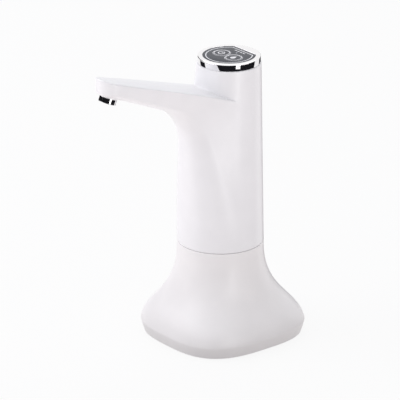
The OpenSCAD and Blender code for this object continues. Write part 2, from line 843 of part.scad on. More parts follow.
module pump_cover() {
    color("dimgray") difference() {
        union() {
            pump_block(cover_z, cover_t);
            translate([0, 0, cover_z - spigot_l]) cylinder(r = spigot_r, h = spigot_l + cut);
        }
        translate([0, 0, cover_z - spigot_l - cut])
            cylinder(r = spigot_bore_r, h = spigot_l + cover_t + 2 * cut);
        pump_screw_holes(cover_z - cut, cover_t + 2 * cut);
        translate([gear_pitch_r, gear_y, housing_z - pin_seat_low])
            cylinder(r = shaft_r, h = pin_seat_low + cut);
    }
}

module pump_housing() {
    channel = [delivery_x, delivery_y - gear_y + gear_pitch_r / 2];
    color("gray") difference() {
        union() {
            pump_block(housing_z, housing_h);
            translate([delivery_x, delivery_y, housing_top_z - cut])
                cylinder(r = spigot_r, h = spigot_l + cut);
        }
        for (x = [-1, 1]) translate([x * gear_pitch_r, gear_y, housing_z - cut])
            cylinder(r = chamber_r, h = chamber_h + cut);
        translate([-channel_r, gear_y, housing_z - cut])
            cube([2 * channel_r, -gear_y, chamber_h / 2 + cut]);
        translate([0, 0, housing_z - cut]) cylinder(r = spigot_bore_r, h = chamber_h / 2 + 2 * cut);
        translate([0, gear_y - gear_pitch_r / 2, delivery_z])
            rotate([0, 90, atan2(channel[1], channel[0])]) cylinder(r = channel_r, h = norm(channel));
        translate([delivery_x, delivery_y, delivery_z - spigot_bore_r])
            cylinder(r = spigot_bore_r, h = housing_top_z + spigot_l - delivery_z + spigot_bore_r + cut);
        translate([-gear_pitch_r, gear_y, housing_z]) cylinder(r = shaft_r + run_gap, h = housing_h + cut);
        translate([-gear_pitch_r, gear_y, housing_top_z - motor_boss_h - seal_ring_h])
            cylinder(r = seal_ring_r, h = seal_ring_h + cut);
        translate([-gear_pitch_r, gear_y, housing_top_z - motor_boss_h])
            cylinder(r = motor_boss_r + run_gap, h = motor_boss_h + cut);
        translate([gear_pitch_r, gear_y, housing_z]) cylinder(r = shaft_r, h = chamber_h + pin_seat_high);
        pump_screw_holes(housing_z - cut, housing_h + 2 * cut);
    }
}

module pump_screws() {
    color("silver") for (at = pump_screw_at)
        translate([at[0], at[1], housing_top_z]) screw(pump_screw_l);
}

module drive_gear() {
    color("gold") translate([-gear_pitch_r, gear_y, housing_z + gear_gap]) gear(shaft_r);
}

module driven_gear() {
    color("goldenrod") translate([gear_pitch_r, gear_y, housing_z + gear_gap])
        rotate(180 + 180 / gear_teeth) gear(shaft_r + run_gap);
}

module driven_pin() {
    color("silver") translate([gear_pitch_r, gear_y, housing_z - pin_seat_low])
        cylinder(r = shaft_r, h = pin_seat_low + chamber_h + pin_seat_high);
}

module shaft_seal() {
    low = housing_top_z - motor_boss_h - seal_ring_h;
    color("black") translate([-gear_pitch_r, gear_y, low]) difference() {
        cylinder(r = seal_ring_r, h = seal_ring_h);
        translate([0, 0, -cut]) cylinder(r = shaft_r + run_gap, h = seal_ring_h + 2 * cut);
    }
}

// Motor, inner frame, battery and charging board

module motor_can() {
    color("silver") translate([-gear_pitch_r, gear_y, housing_top_z]) difference() {
        union() {
            cylinder(r = motor_r, h = motor_l);
            translate([0, 0, -motor_boss_h]) cylinder(r = motor_boss_r, h = motor_boss_h + cut);
        }
        translate([0, 0, -motor_boss_h - cut])
            cylinder(r = shaft_r + run_gap, h = motor_l + motor_boss_h + 2 * cut);
    }
}

module motor_end_cap() {
    color("black") translate([-gear_pitch_r, gear_y, motor_top_z]) difference() {
        union() {
            cylinder(r = motor_r - motor_cap_inset, h = motor_cap_t);
            for (x = [-1, 1]) translate([x * terminal_x - terminal_w / 2, -terminal_t / 2, 0])
                cube([terminal_w, terminal_t, motor_cap_t + terminal_h]);
        }
        translate([0, 0, -cut]) cylinder(r = shaft_r + run_gap, h = motor_cap_t + 2 * cut);
    }
}

module motor_shaft() {
    low = housing_z + gear_gap;
    color("lightgray") translate([-gear_pitch_r, gear_y, low]) cylinder(r = shaft_r, h = shaft_top_z - low);
}

module inner_frame() {
    color("gainsboro") difference() {
        union() {
            translate([-frame_half_w, frame_y, cap_top_z])
                cube([2 * frame_half_w, frame_t, shelf_top_z - cap_top_z]);
            translate([-frame_half_w - ear_w, frame_y, cap_top_z])
                cube([2 * (frame_half_w + ear_w), ear_w, foot_t]);
            translate([-frame_half_w, frame_y, cap_top_z])
                cube([2 * frame_half_w, frame_back_y - frame_y, foot_t]);
            translate([-frame_half_w, frame_y, shelf_z])
                cube([2 * frame_half_w, frame_back_y - frame_y, frame_t]);
            for (x = [-1, 1]) translate([x * (frame_half_w - frame_t / 2) - frame_t / 2, frame_y, cap_top_z])
                cube([frame_t, frame_t + free_gap + cell_r, shelf_top_z - cap_top_z]);
        }
        for (x = [-1, 1]) translate([x * frame_screw_x, frame_screw_y, cap_top_z - cut])
            cylinder(r = screw_hole_r, h = foot_t + 2 * cut);
    }
}

module frame_screws() {
    color("silver") for (x = [-1, 1])
        translate([x * frame_screw_x, frame_screw_y, cap_top_z + foot_t]) screw(frame_screw_l);
}

module battery_cell() {
    color("royalblue") translate([0, cell_y, cell_z]) {
        cylinder(r = cell_r, h = cell_l - cell_button_h);
        cylinder(r = cell_button_r, h = cell_l);
    }
}

module charge_board() {
    color("darkgreen") translate([-frame_half_w, frame_y, shelf_top_z])
        cube([2 * frame_half_w, board_back_y - frame_y, board_t]);
}

module charge_port() {
    color("silver") translate([-port_w / 2, port_back_y - port_l, shelf_top_z + board_t]) difference() {
        cube([port_w, port_l, port_h]);
        translate([port_wall, cut, port_wall])
            cube([port_w - 2 * port_wall, port_l, port_h - 2 * port_wall]);
    }
}

// Outlet tube, nozzle and its nut

module outlet_tube() {
    color("lightsteelblue") tube(outlet_route, tube_r, tube_bore_r, tube_sides);
}

module spout_nozzle() {
    color("silver") on_nozzle() difference() {
        union() {
            translate([0, 0, -nozzle_l]) cylinder(r = nozzle_r, h = nozzle_l);
            cylinder(r = nozzle_neck_r, h = nozzle_chamber_h);
            translate([0, 0, nozzle_tail_h]) rotate([under_angle - nozzle_tail_slope - 90, 0, 0])
                cylinder(r = spigot_r, h = nozzle_tail_l);
        }
        translate([0, 0, -nozzle_l - cut]) cylinder(r = nozzle_bore_r, h = nozzle_l + nozzle_chamber_h);
        translate([0, 0, nozzle_tail_h]) rotate([under_angle - nozzle_tail_slope - 90, 0, 0])
            cylinder(r = spigot_bore_r, h = nozzle_tail_l + cut);
    }
}

module nozzle_nut() {
    color("dimgray") on_nozzle() translate([0, 0, nozzle_seat_h]) difference() {
        cylinder(r = nozzle_nut_r, h = nozzle_nut_h);
        translate([0, 0, -cut]) cylinder(r = nozzle_neck_r + run_gap, h = nozzle_nut_h + 2 * cut);
    }
}

// Head: chrome ring, panel, keys and the board under them

module chrome_ring() {
    bevel_z = ring_top_z - ring_bevel;
    color("silver") translate([0, head_y, 0]) difference() {
        union() {
            translate([0, 0, rim_z]) cylinder(r = ring_r, h = bevel_z - rim_z);
            translate([0, 0, bevel_z]) cylinder(r1 = ring_r, r2 = ring_r - ring_bevel, h = ring_bevel);
            translate([0, 0, rim_z - ring_skirt_h]) cylinder(r = ring_skirt_r, h = ring_skirt_h + cut);
        }
        translate([0, 0, panel_z]) linear_extrude(ring_h) panel_outline(fit_gap);
        translate([0, 0, ledge_z - cut]) linear_extrude(ring_h) panel_outline(-ledge_w);
        translate([0, 0, rim_z - ring_skirt_h - cut])
            cylinder(r = ring_skirt_r - ring_skirt_t, h = ledge_z - rim_z + ring_skirt_h + cut);
    }
    color("silver") for (at = board_post_at) translate([at[0], at[1], key_board_top_z]) difference() {
        cylinder(r = board_post_r, h = ledge_z - key_board_top_z + ledge_t / 2);
        translate([0, 0, -cut]) cylinder(r = board_screw_r + run_gap, h = board_screw_l - board_t + cut);
    }
}

module control_panel() {
    color("darkslategray") translate([0, head_y, panel_z]) difference() {
        linear_extrude(panel_t) panel_outline();
        for (x = [-1, 1]) translate([x * key_pitch / 2, -key_forward, -cut])
            cylinder(r = key_r + fit_gap, h = panel_t + 2 * cut);
        translate([0, light_y - head_y, -cut]) cylinder(r = light_r + run_gap, h = panel_t + 2 * cut);
    }
}

module key(side) {
    color("slategray") translate([side * key_pitch / 2, key_y, 0]) {
        translate([0, 0, key_flange_z]) cylinder(r = key_r, h = panel_top_z + key_proud - key_flange_z);
        translate([0, 0, key_flange_z]) cylinder(r = key_r + key_flange, h = key_flange_t);
        translate([0, 0, key_foot_z]) cylinder(r = key_post_r, h = key_flange_z - key_foot_z + cut / 2);
    }
}

module power_key() {
    key(-1);
}

module fill_key() {
    key(1);
}

module key_board() {
    color("darkgreen") difference() {
        translate([0, head_y, key_board_z]) cylinder(r = key_board_r, h = board_t);
        for (at = board_post_at) translate([at[0], at[1], key_board_z - cut])
            cylinder(r = board_screw_r + fit_gap, h = board_t + 2 * cut);
    }
}

module board_screws() {
    color("silver") for (at = board_post_at) translate([at[0], at[1], key_board_z]) mirror([0, 0, 1])
        screw(board_screw_l - fit_gap, board_screw_r, board_screw_head_r, board_screw_head_h);
}

module key_switches() {
    color("black") for (side = [-1, 1])
        translate([side * key_pitch / 2 - switch_w / 2, key_y - switch_w / 2, key_board_top_z])
            cube([switch_w, switch_w, switch_h]);
}

module status_light() {
    color("white") translate([0, light_y, key_board_top_z]) {
        translate([-light_chip_w / 2, -light_chip_w / 2, 0]) cube([light_chip_w, light_chip_w, light_chip_h]);
        cylinder(r = light_r, h = panel_top_z - key_board_top_z);
    }
}

module control_leads() {
    color("red") for (route = lead_routes) lead(route, lead_r, lead_sides);
}

base_shell();
base_plate();
base_pad();
base_screws();
seat_collar();
collar_screws();
body_shell();
neck_seal();
bottom_cap();
cap_screws();
inlet_fitting();
fitting_nut();
inlet_tube();
pump_cover();
pump_housing();
pump_screws();
drive_gear();
driven_gear();
driven_pin();
shaft_seal();
motor_can();
motor_end_cap();
motor_shaft();
inner_frame();
frame_screws();
battery_cell();
charge_board();
charge_port();
outlet_tube();
spout_nozzle();
nozzle_nut();
chrome_ring();
control_panel();
power_key();
fill_key();
key_board();
board_screws();
key_switches();
status_light();
control_leads();
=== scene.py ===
"""Looks of an electric water jug pump that stands on its flared table base.

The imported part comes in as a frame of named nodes, and they stay where they are. Smooth skins with
rounded edges take the place of the faceted outer pieces, generic marks are printed on the control
panel, every piece gets a procedural finish, and the whole is lit on white.
Lengths of the pieces are millimetres, and a mesh is scaled to metres when it is made. Lengths of the
studio are metres.
"""

import json
import logging
import math
from dataclasses import dataclass, field
from enum import Enum, IntEnum

import bmesh
import bpy
import numpy as np
from mathutils import Matrix, Vector

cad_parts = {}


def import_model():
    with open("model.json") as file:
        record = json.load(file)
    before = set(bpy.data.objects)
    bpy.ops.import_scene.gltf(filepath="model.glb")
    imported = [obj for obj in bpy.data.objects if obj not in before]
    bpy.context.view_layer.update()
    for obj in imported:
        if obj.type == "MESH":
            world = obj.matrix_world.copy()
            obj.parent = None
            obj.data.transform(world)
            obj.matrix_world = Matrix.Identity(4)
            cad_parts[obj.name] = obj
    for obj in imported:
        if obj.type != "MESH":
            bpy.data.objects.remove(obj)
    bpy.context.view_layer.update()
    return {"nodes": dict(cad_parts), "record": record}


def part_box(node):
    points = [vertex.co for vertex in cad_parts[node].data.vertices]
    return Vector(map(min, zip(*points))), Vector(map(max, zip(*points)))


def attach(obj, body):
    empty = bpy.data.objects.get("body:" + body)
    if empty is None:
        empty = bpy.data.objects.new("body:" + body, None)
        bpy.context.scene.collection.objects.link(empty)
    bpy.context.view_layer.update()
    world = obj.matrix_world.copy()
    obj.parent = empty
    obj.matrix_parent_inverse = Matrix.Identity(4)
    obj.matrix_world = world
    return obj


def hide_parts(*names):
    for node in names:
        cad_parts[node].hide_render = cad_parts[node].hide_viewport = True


LOG = logging.getLogger("jug_pump")
MM = 0.001
WHITE = (1.0, 1.0, 1.0, 1.0)
PALEST = 0.97
SMOOTHEST = 0.02
TINY = 1e-6
EDGE_TURNS = np.radians((0, 30, 60, 90))
CORNER_STEPS = 7
CAP_STEPS = 9


class Body(Enum):
    """Bodies of the frame that pieces ride on."""

    BASE = "base"
    PUMP = "pump"
    POWER_KEY = "power_key"
    FILL_KEY = "fill_key"


class Grain(Enum):
    """Fine texture of a finish."""

    MOULDED = "moulded"
    BRUSHED = "brushed"
    TRACES = "traces"


class Joining(Enum):
    """Ways in which a tool changes a mesh."""

    ADD = "UNION"
    CUT = "DIFFERENCE"


class Zone(IntEnum):
    """Parts of the pump body's outline, from the rear to the front."""

    REAR = 0
    SIDE = 1
    NOSE = 2


class LampTint(Enum):
    """Colours of the lamps and of the light that the floor throws back."""

    LAVENDER = (0.97, 0.96, 1.0)
    ROSE = (1.0, 0.95, 0.955)


@dataclass(frozen=True)
class Finish:
    """Surface of one material slot, made as a procedural material."""

    slot: str
    colour: tuple[float, float, float]
    roughness: float
    metallic: float = 0.0
    coat: float = 0.0
    coat_roughness: float = 0.06
    transmission: float = 0.0
    specular: float = 0.5
    tint: float = 0.03
    tint_scale: float = 60.0
    tint_detail: float = 3.0
    tint_span: tuple[float, float] = (0.3, 0.7)
    rough_spread: float = 0.06
    grain: Grain = Grain.MOULDED
    grain_scale: float = 900.0
    grain_detail: float = 2.0
    grain_depth: float = 0.004
    brush_stretch: tuple[float, float, float] = (1.0, 1.0, 0.04)

    def material(self) -> bpy.types.Material:
        """Makes the material.

        Returns:
            A node material whose colour, roughness and normal vary with procedural noise.
        """
        material = bpy.data.materials.new(self.slot)
        material.use_nodes = True
        nodes = material.node_tree.nodes
        links = material.node_tree.links
        shader = nodes["Principled BSDF"]
        shader.inputs["Metallic"].default_value = self.metallic
        shader.inputs["Coat Weight"].default_value = self.coat
        shader.inputs["Coat Roughness"].default_value = self.coat_roughness
        shader.inputs["Transmission Weight"].default_value = self.transmission
        shader.inputs["Specular IOR Level"].default_value = self.specular
        place = nodes.new("ShaderNodeTexCoord")
        cloud = self.noise(nodes, self.tint_scale, self.tint_detail)
        links.new(place.outputs["Object"], cloud.inputs["Vector"])
        ramp = nodes.new("ShaderNodeValToRGB")
        shades = (1 - self.tint, 1 + self.tint)
        for stop, position, shade in zip(ramp.color_ramp.elements, self.tint_span, shades):
            stop.position = position
            stop.color = (*(min(c * shade, PALEST) for c in self.colour), 1)
        links.new(cloud.outputs["Fac"], ramp.inputs["Fac"])
        links.new(ramp.outputs["Color"], shader.inputs["Base Color"])
        fine = self.fine_texture(nodes, links, place)
        spread = nodes.new("ShaderNodeMapRange")
        spread.inputs["To Min"].default_value = max(self.roughness - self.rough_spread, SMOOTHEST)
        spread.inputs["To Max"].default_value = self.roughness + self.rough_spread
        links.new(fine, spread.inputs["Value"])
        links.new(spread.outputs["Result"], shader.inputs["Roughness"])
        bump = nodes.new("ShaderNodeBump")
        bump.inputs["Distance"].default_value = self.grain_depth * MM
        links.new(fine, bump.inputs["Height"])
        links.new(bump.outputs["Normal"], shader.inputs["Normal"])
        return material

    def fine_texture(
        self, nodes: bpy.types.Nodes, links: bpy.types.NodeLinks, place: bpy.types.Node
    ) -> bpy.types.NodeSocket:
        """Adds the fine texture that drives roughness and bump.

        Args:
            nodes: node list of the material.
            links: link list of the material.
            place: node that gives the texture coordinates.

        Returns:
            The socket with a value from 0 to 1.
        """
        if self.grain is Grain.TRACES:
            pattern = nodes.new("ShaderNodeTexBrick")
            pattern.inputs["Scale"].default_value = self.grain_scale
            links.new(place.outputs["Object"], pattern.inputs["Vector"])
            return pattern.outputs["Fac"]
        stretch = nodes.new("ShaderNodeMapping")
        if self.grain is Grain.BRUSHED:
            stretch.inputs["Scale"].default_value = self.brush_stretch
        links.new(place.outputs["Object"], stretch.inputs["Vector"])
        pattern = self.noise(nodes, self.grain_scale, self.grain_detail)
        links.new(stretch.outputs["Vector"], pattern.inputs["Vector"])
        return pattern.outputs["Fac"]

    @staticmethod
    def noise(nodes: bpy.types.Nodes, scale: float, detail: float) -> bpy.types.Node:
        """Adds a noise texture.

        Args:
            nodes: node list of the material.
            scale: waves per metre.
            detail: octaves of finer noise.

        Returns:
            The noise node.
        """
        pattern = nodes.new("ShaderNodeTexNoise")
        pattern.inputs["Scale"].default_value = scale
        pattern.inputs["Detail"].default_value = detail
        return pattern


FINISHES = (
    Finish("shell_white", (0.84, 0.835, 0.85), 0.33, specular=0.4, tint=0.012, rough_spread=0.03,
           grain_scale=420.0, grain_depth=0.003),
    Finish("base_white", (0.835, 0.818, 0.82), 0.36, specular=0.4, tint=0.012, rough_spread=0.04,
           grain_scale=420.0, grain_depth=0.003),
    Finish("inner_white", (0.74, 0.74, 0.73), 0.42, grain_depth=0.006),
    Finish("pad_grey", (0.09, 0.09, 0.095), 0.75, tint=0.12, grain_scale=1400.0, grain_depth=0.03),
    Finish("seal_silicone", (0.62, 0.64, 0.66), 0.5, transmission=0.1, grain_depth=0.006),
    Finish("tube_silicone", (0.75, 0.77, 0.78), 0.35, transmission=0.5, grain_depth=0.003),
    Finish("seal_black", (0.03, 0.03, 0.032), 0.6, tint=0.1, grain_depth=0.008),
    Finish("screw_steel", (0.56, 0.56, 0.57), 0.35, metallic=1.0, grain=Grain.BRUSHED),
    Finish("motor_steel", (0.62, 0.62, 0.63), 0.35, metallic=1.0, grain=Grain.BRUSHED),
    Finish("pump_grey", (0.28, 0.29, 0.31), 0.45, tint=0.06, grain_depth=0.008),
    Finish("gear_cream", (0.76, 0.72, 0.6), 0.4, grain_depth=0.006),
    Finish("cap_black", (0.04, 0.04, 0.043), 0.45, tint=0.1, grain_depth=0.008),
    Finish("cell_blue", (0.06, 0.17, 0.42), 0.35, coat=0.3, tint=0.08, grain_depth=0.004),
    Finish("board_green", (0.03, 0.2, 0.09), 0.4, coat=0.2, tint=0.15, grain=Grain.TRACES, grain_scale=260.0),
    Finish("chrome_trim", (0.9, 0.89, 0.9), 0.05, metallic=1.0, tint=0.02, rough_spread=0.015,
           grain_depth=0.0004),
    Finish("panel_slate", (0.032, 0.036, 0.05), 0.22, specular=0.2, tint=0.1, rough_spread=0.03,
           grain_scale=1600.0, grain_depth=0.003),
    Finish("key_slate", (0.034, 0.038, 0.052), 0.23, specular=0.2, tint=0.1, rough_spread=0.03,
           grain_scale=1600.0, grain_depth=0.003),
    Finish("light_clear", (0.8, 0.84, 0.9), 0.2, transmission=0.4, grain_depth=0.001),
    Finish("lead_red", (0.5, 0.03, 0.03), 0.4, tint=0.1, grain_depth=0.006),
    Finish("print_silver", (0.8, 0.8, 0.82), 0.36, tint=0.05, grain_scale=3000.0, grain_depth=0.001),
)


class Palette:
    """Materials of all finishes by slot name."""

    def __init__(self) -> None:
        """Makes the material of every finish."""
        self.materials = {finish.slot: finish.material() for finish in FINISHES}

    def dress(self, obj: bpy.types.Object, slot: str) -> None:
        """Gives a piece the finish of one slot."""
        obj.data.materials.clear()
        obj.data.materials.append(self.materials[slot])


def stacked(rows: list[tuple[np.ndarray, float]]) -> np.ndarray:
    """Puts flat outlines of equal length on their levels, as points of rows by columns by three."""
    return np.stack([np.column_stack([line, np.full(len(line), level)]) for line, level in rows])


class MeshSketch:
    """Collects sheets of points in millimetres and joins them into one smooth mesh."""

    weld: float = 0.003
    sharp_deg: float = 38.0

    def __init__(self) -> None:
        """Starts without points and faces."""
        self.points: list[np.ndarray] = []
        self.faces: list[list[int]] = []
        self.count = 0

    def sheet(self, points: np.ndarray, closed: bool = False, looped: bool = False) -> None:
        """Adds a sheet of four-sided faces.

        Args:
            points: rows by columns by three.
            closed: the last column joins the first.
            looped: the last row joins the first.
        """
        rows, columns = points.shape[:2]
        index = np.arange(rows * columns).reshape(rows, columns) + self.count
        if closed:
            index = np.column_stack([index, index[:, :1]])
        if looped:
            index = np.vstack([index, index[:1]])
        quads = np.stack([index[:-1, :-1], index[:-1, 1:], index[1:, 1:], index[1:, :-1]], axis=-1)
        self.faces.extend(quads.reshape(-1, 4).tolist())
        self.points.append(points.reshape(-1, 3))
        self.count += rows * columns

    def mirrored(self, points: np.ndarray) -> None:
        """Adds a sheet and its mirror image in the plane x = 0."""
        self.sheet(points)
        self.sheet(points * np.array([-1.0, 1.0, 1.0]))

    def capped(self, points: np.ndarray) -> None:
        """Adds a closed stack of outlines with a flat face at both ends.

        Args:
            points: rows by columns by three.
        """
        rows, columns = points.shape[:2]
        last = self.count + (rows - 1) * columns
        self.faces.append(list(range(self.count, self.count + columns)))
        self.faces.append(list(range(last, last + columns)))
        self.sheet(points, closed=True)

    def prism(self, outline: np.ndarray, low: float, high: float) -> None:
        """Adds an upright prism over an outline, from one level to another."""
        self.capped(stacked([(outline, low), (outline, high)]))

    def band(self, outer: np.ndarray, inner: np.ndarray, low: float, high: float) -> None:
        """Adds a flat band between two closed outlines of equal length, from one level to another."""
        rows = [(outer, low), (outer, high), (inner, high), (inner, low)]
        self.sheet(stacked(rows), closed=True, looped=True)

    def build(self, name: str) -> bpy.types.Object:
        """Makes the mesh object.

        Args:
            name: name of the object.

        Returns:
            The object, at the origin and in metres.
        """
        mesh = bpy.data.meshes.new(name)
        mesh.from_pydata((np.concatenate(self.points) * MM).tolist(), [], self.faces)
        work = bmesh.new()
        work.from_mesh(mesh)
        bmesh.ops.remove_doubles(work, verts=work.verts, dist=self.weld * MM)
        bmesh.ops.dissolve_degenerate(work, dist=self.weld * MM, edges=work.edges)
        bmesh.ops.recalc_face_normals(work, faces=work.faces)
        work.to_mesh(mesh)
        work.free()
        obj = bpy.data.objects.new(name, mesh)
        bpy.context.scene.collection.objects.link(obj)
        self.shade(obj)
        return obj

    @classmethod
    def shade(cls, obj: bpy.types.Object) -> None:
        """Shades an object smooth between its sharp edges."""
        obj.data.shade_smooth()
        obj.data.set_sharp_from_angle(angle=math.radians(cls.sharp_deg))


def lathe(profile: list[tuple[float, float]], centre: tuple[float, float], count: int = 96) -> np.ndarray:
    """Turns a profile about an upright axis.

    Args:
        profile: radius and level of each point.
        centre: x and y of the axis.
        count: number of steps around.

    Returns:
        Points, profile by count by three.
    """
    turn = np.linspace(0, 2 * math.pi, count, endpoint=False)
    radius, level = np.array(profile).T
    x = centre[0] + np.outer(radius, np.cos(turn))
    y = centre[1] + np.outer(radius, np.sin(turn))
    return np.stack([x, y, np.broadcast_to(level[:, None], x.shape)], axis=-1)


def arc(
    centre: tuple[float, float], radius: float, start_deg: float, end_deg: float, count: int
) -> list[tuple[float, float]]:
    """Gives points on a circular arc, from its first to its last angle."""
    angles = np.radians(np.linspace(start_deg, end_deg, count))
    return [(centre[0] + radius * math.cos(a), centre[1] + radius * math.sin(a)) for a in angles]


def full_circle(centre: np.ndarray, radius: float, count: int) -> np.ndarray:
    """Gives evenly spaced points on a whole circle, count by two."""
    return np.array(arc(tuple(centre), radius, 0, 360 - 360 / count, count))


def rounded_box(half_x: float, half_y: float, radius: float) -> np.ndarray:
    """Gives the outline of a rounded rectangle about the origin.

    Args:
        half_x: half its width.
        half_y: half its height.
        radius: radius of its corners.

    Returns:
        Points, count by two.
    """
    corners = ((1, 1, 0), (-1, 1, 90), (-1, -1, 180), (1, -1, 270))
    points: list[tuple[float, float]] = []
    for x, y, start in corners:
        centre = (x * (half_x - radius), y * (half_y - radius))
        points.extend(arc(centre, radius, start, start + 90, CORNER_STEPS))
    return np.array(points)


def stroke(path: np.ndarray, width: float) -> np.ndarray:
    """Gives the outline of a line with round ends.

    Args:
        path: points of the line, count by two.
        width: width of the line.

    Returns:
        Points, count by two.
    """
    way = np.gradient(path, axis=0)
    way = way / np.linalg.norm(way, axis=1, keepdims=True)
    side = np.column_stack([-way[:, 1], way[:, 0]]) * width / 2
    first = math.degrees(math.atan2(side[0, 1], side[0, 0]))
    last = math.degrees(math.atan2(side[-1, 1], side[-1, 0]))
    end_cap = arc(tuple(path[-1]), width / 2, last, last - 180, CAP_STEPS)[1:-1]
    start_cap = arc(tuple(path[0]), width / 2, first + 180, first, CAP_STEPS)[1:-1]
    return np.concatenate([path + side, end_cap, (path - side)[::-1], start_cap])


def tunnel(name: str, outline: np.ndarray, level: float, ends: tuple[float, float]) -> bpy.types.Object:
    """Makes a tool that cuts along y.

    Args:
        name: name of the tool.
        outline: x and height of each point of its outline.
        level: level that the heights count from.
        ends: y of its two ends.

    Returns:
        The tool.
    """
    rows = [np.column_stack([outline[:, 0], np.full(len(outline), y), level + outline[:, 1]]) for y in ends]
    sketch = MeshSketch()
    sketch.capped(np.stack(rows))
    return sketch.build(name)


def combine(obj: bpy.types.Object, tool: bpy.types.Object, joining: Joining) -> None:
    """Adds a tool to a mesh or cuts it away, and deletes the tool.

    Args:
        obj: mesh that is changed.
        tool: mesh that is added or cut away.
        joining: which of the two.
    """
    step = obj.modifiers.new("combine", "BOOLEAN")
    step.operation = joining.value
    step.solver = "EXACT"
    step.object = tool
    graph = bpy.context.evaluated_depsgraph_get()
    result = bpy.data.meshes.new_from_object(obj.evaluated_get(graph))
    obj.modifiers.clear()
    obj.data = result
    bpy.data.objects.remove(tool, do_unlink=True)
    MeshSketch.shade(obj)


def box_mm(node: str) -> tuple[np.ndarray, np.ndarray]:
    """Gives the low and the high corner of a CAD node in millimetres."""
    low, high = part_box(node)
    return np.array(low) / MM, np.array(high) / MM


@dataclass
class SubAssembly:
    """Group of pieces that are made and dressed together."""

    palette: Palette
    pieces: list[bpy.types.Object] = field(default_factory=list)

    def dress(self, obj: bpy.types.Object, body: Body, slot: str, *nodes: str) -> None:
        """Puts a made piece on its body and gives it its finish.

        Args:
            obj: piece.
            body: body it rides on.
            slot: finish of the piece.
            nodes: CAD nodes it stands for.
        """
        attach(obj, body.value)
        if nodes:
            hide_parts(*nodes)
        self.palette.dress(obj, slot)
        self.pieces.append(obj)


@dataclass
class NozzleFrame:
    """Place and slope of the outlet under the spout tip."""

    y: float = -115.3
    z: float = 232.8
    slope_deg: float = 23.0

    def matrix(self) -> Matrix:
        """Gives the transform from nozzle to part coordinates, in metres."""
        place = Matrix.Translation(Vector((0.0, self.y, self.z)) * MM)
        return place @ Matrix.Rotation(math.radians(-self.slope_deg), 4, "X")

    def turned(self, name: str, profile: list[tuple[float, float]]) -> bpy.types.Object:
        """Makes a turned piece on the nozzle's axis.

        Args:
            name: name of the piece.
            profile: radius and height of each point, from axis to axis.

        Returns:
            The piece.
        """
        sketch = MeshSketch()
        sketch.sheet(lathe(profile, (0.0, 0.0)), closed=True)
        obj = sketch.build(name)
        obj.data.transform(self.matrix())
        return obj

    def plug(self, name: str, radius: float, low: float, high: float) -> bpy.types.Object:
        """Makes a plain cylinder on the nozzle's axis, as a tool that is joined or cut."""
        return self.turned(name, [(0, low), (radius, low), (radius, high), (0, high)])


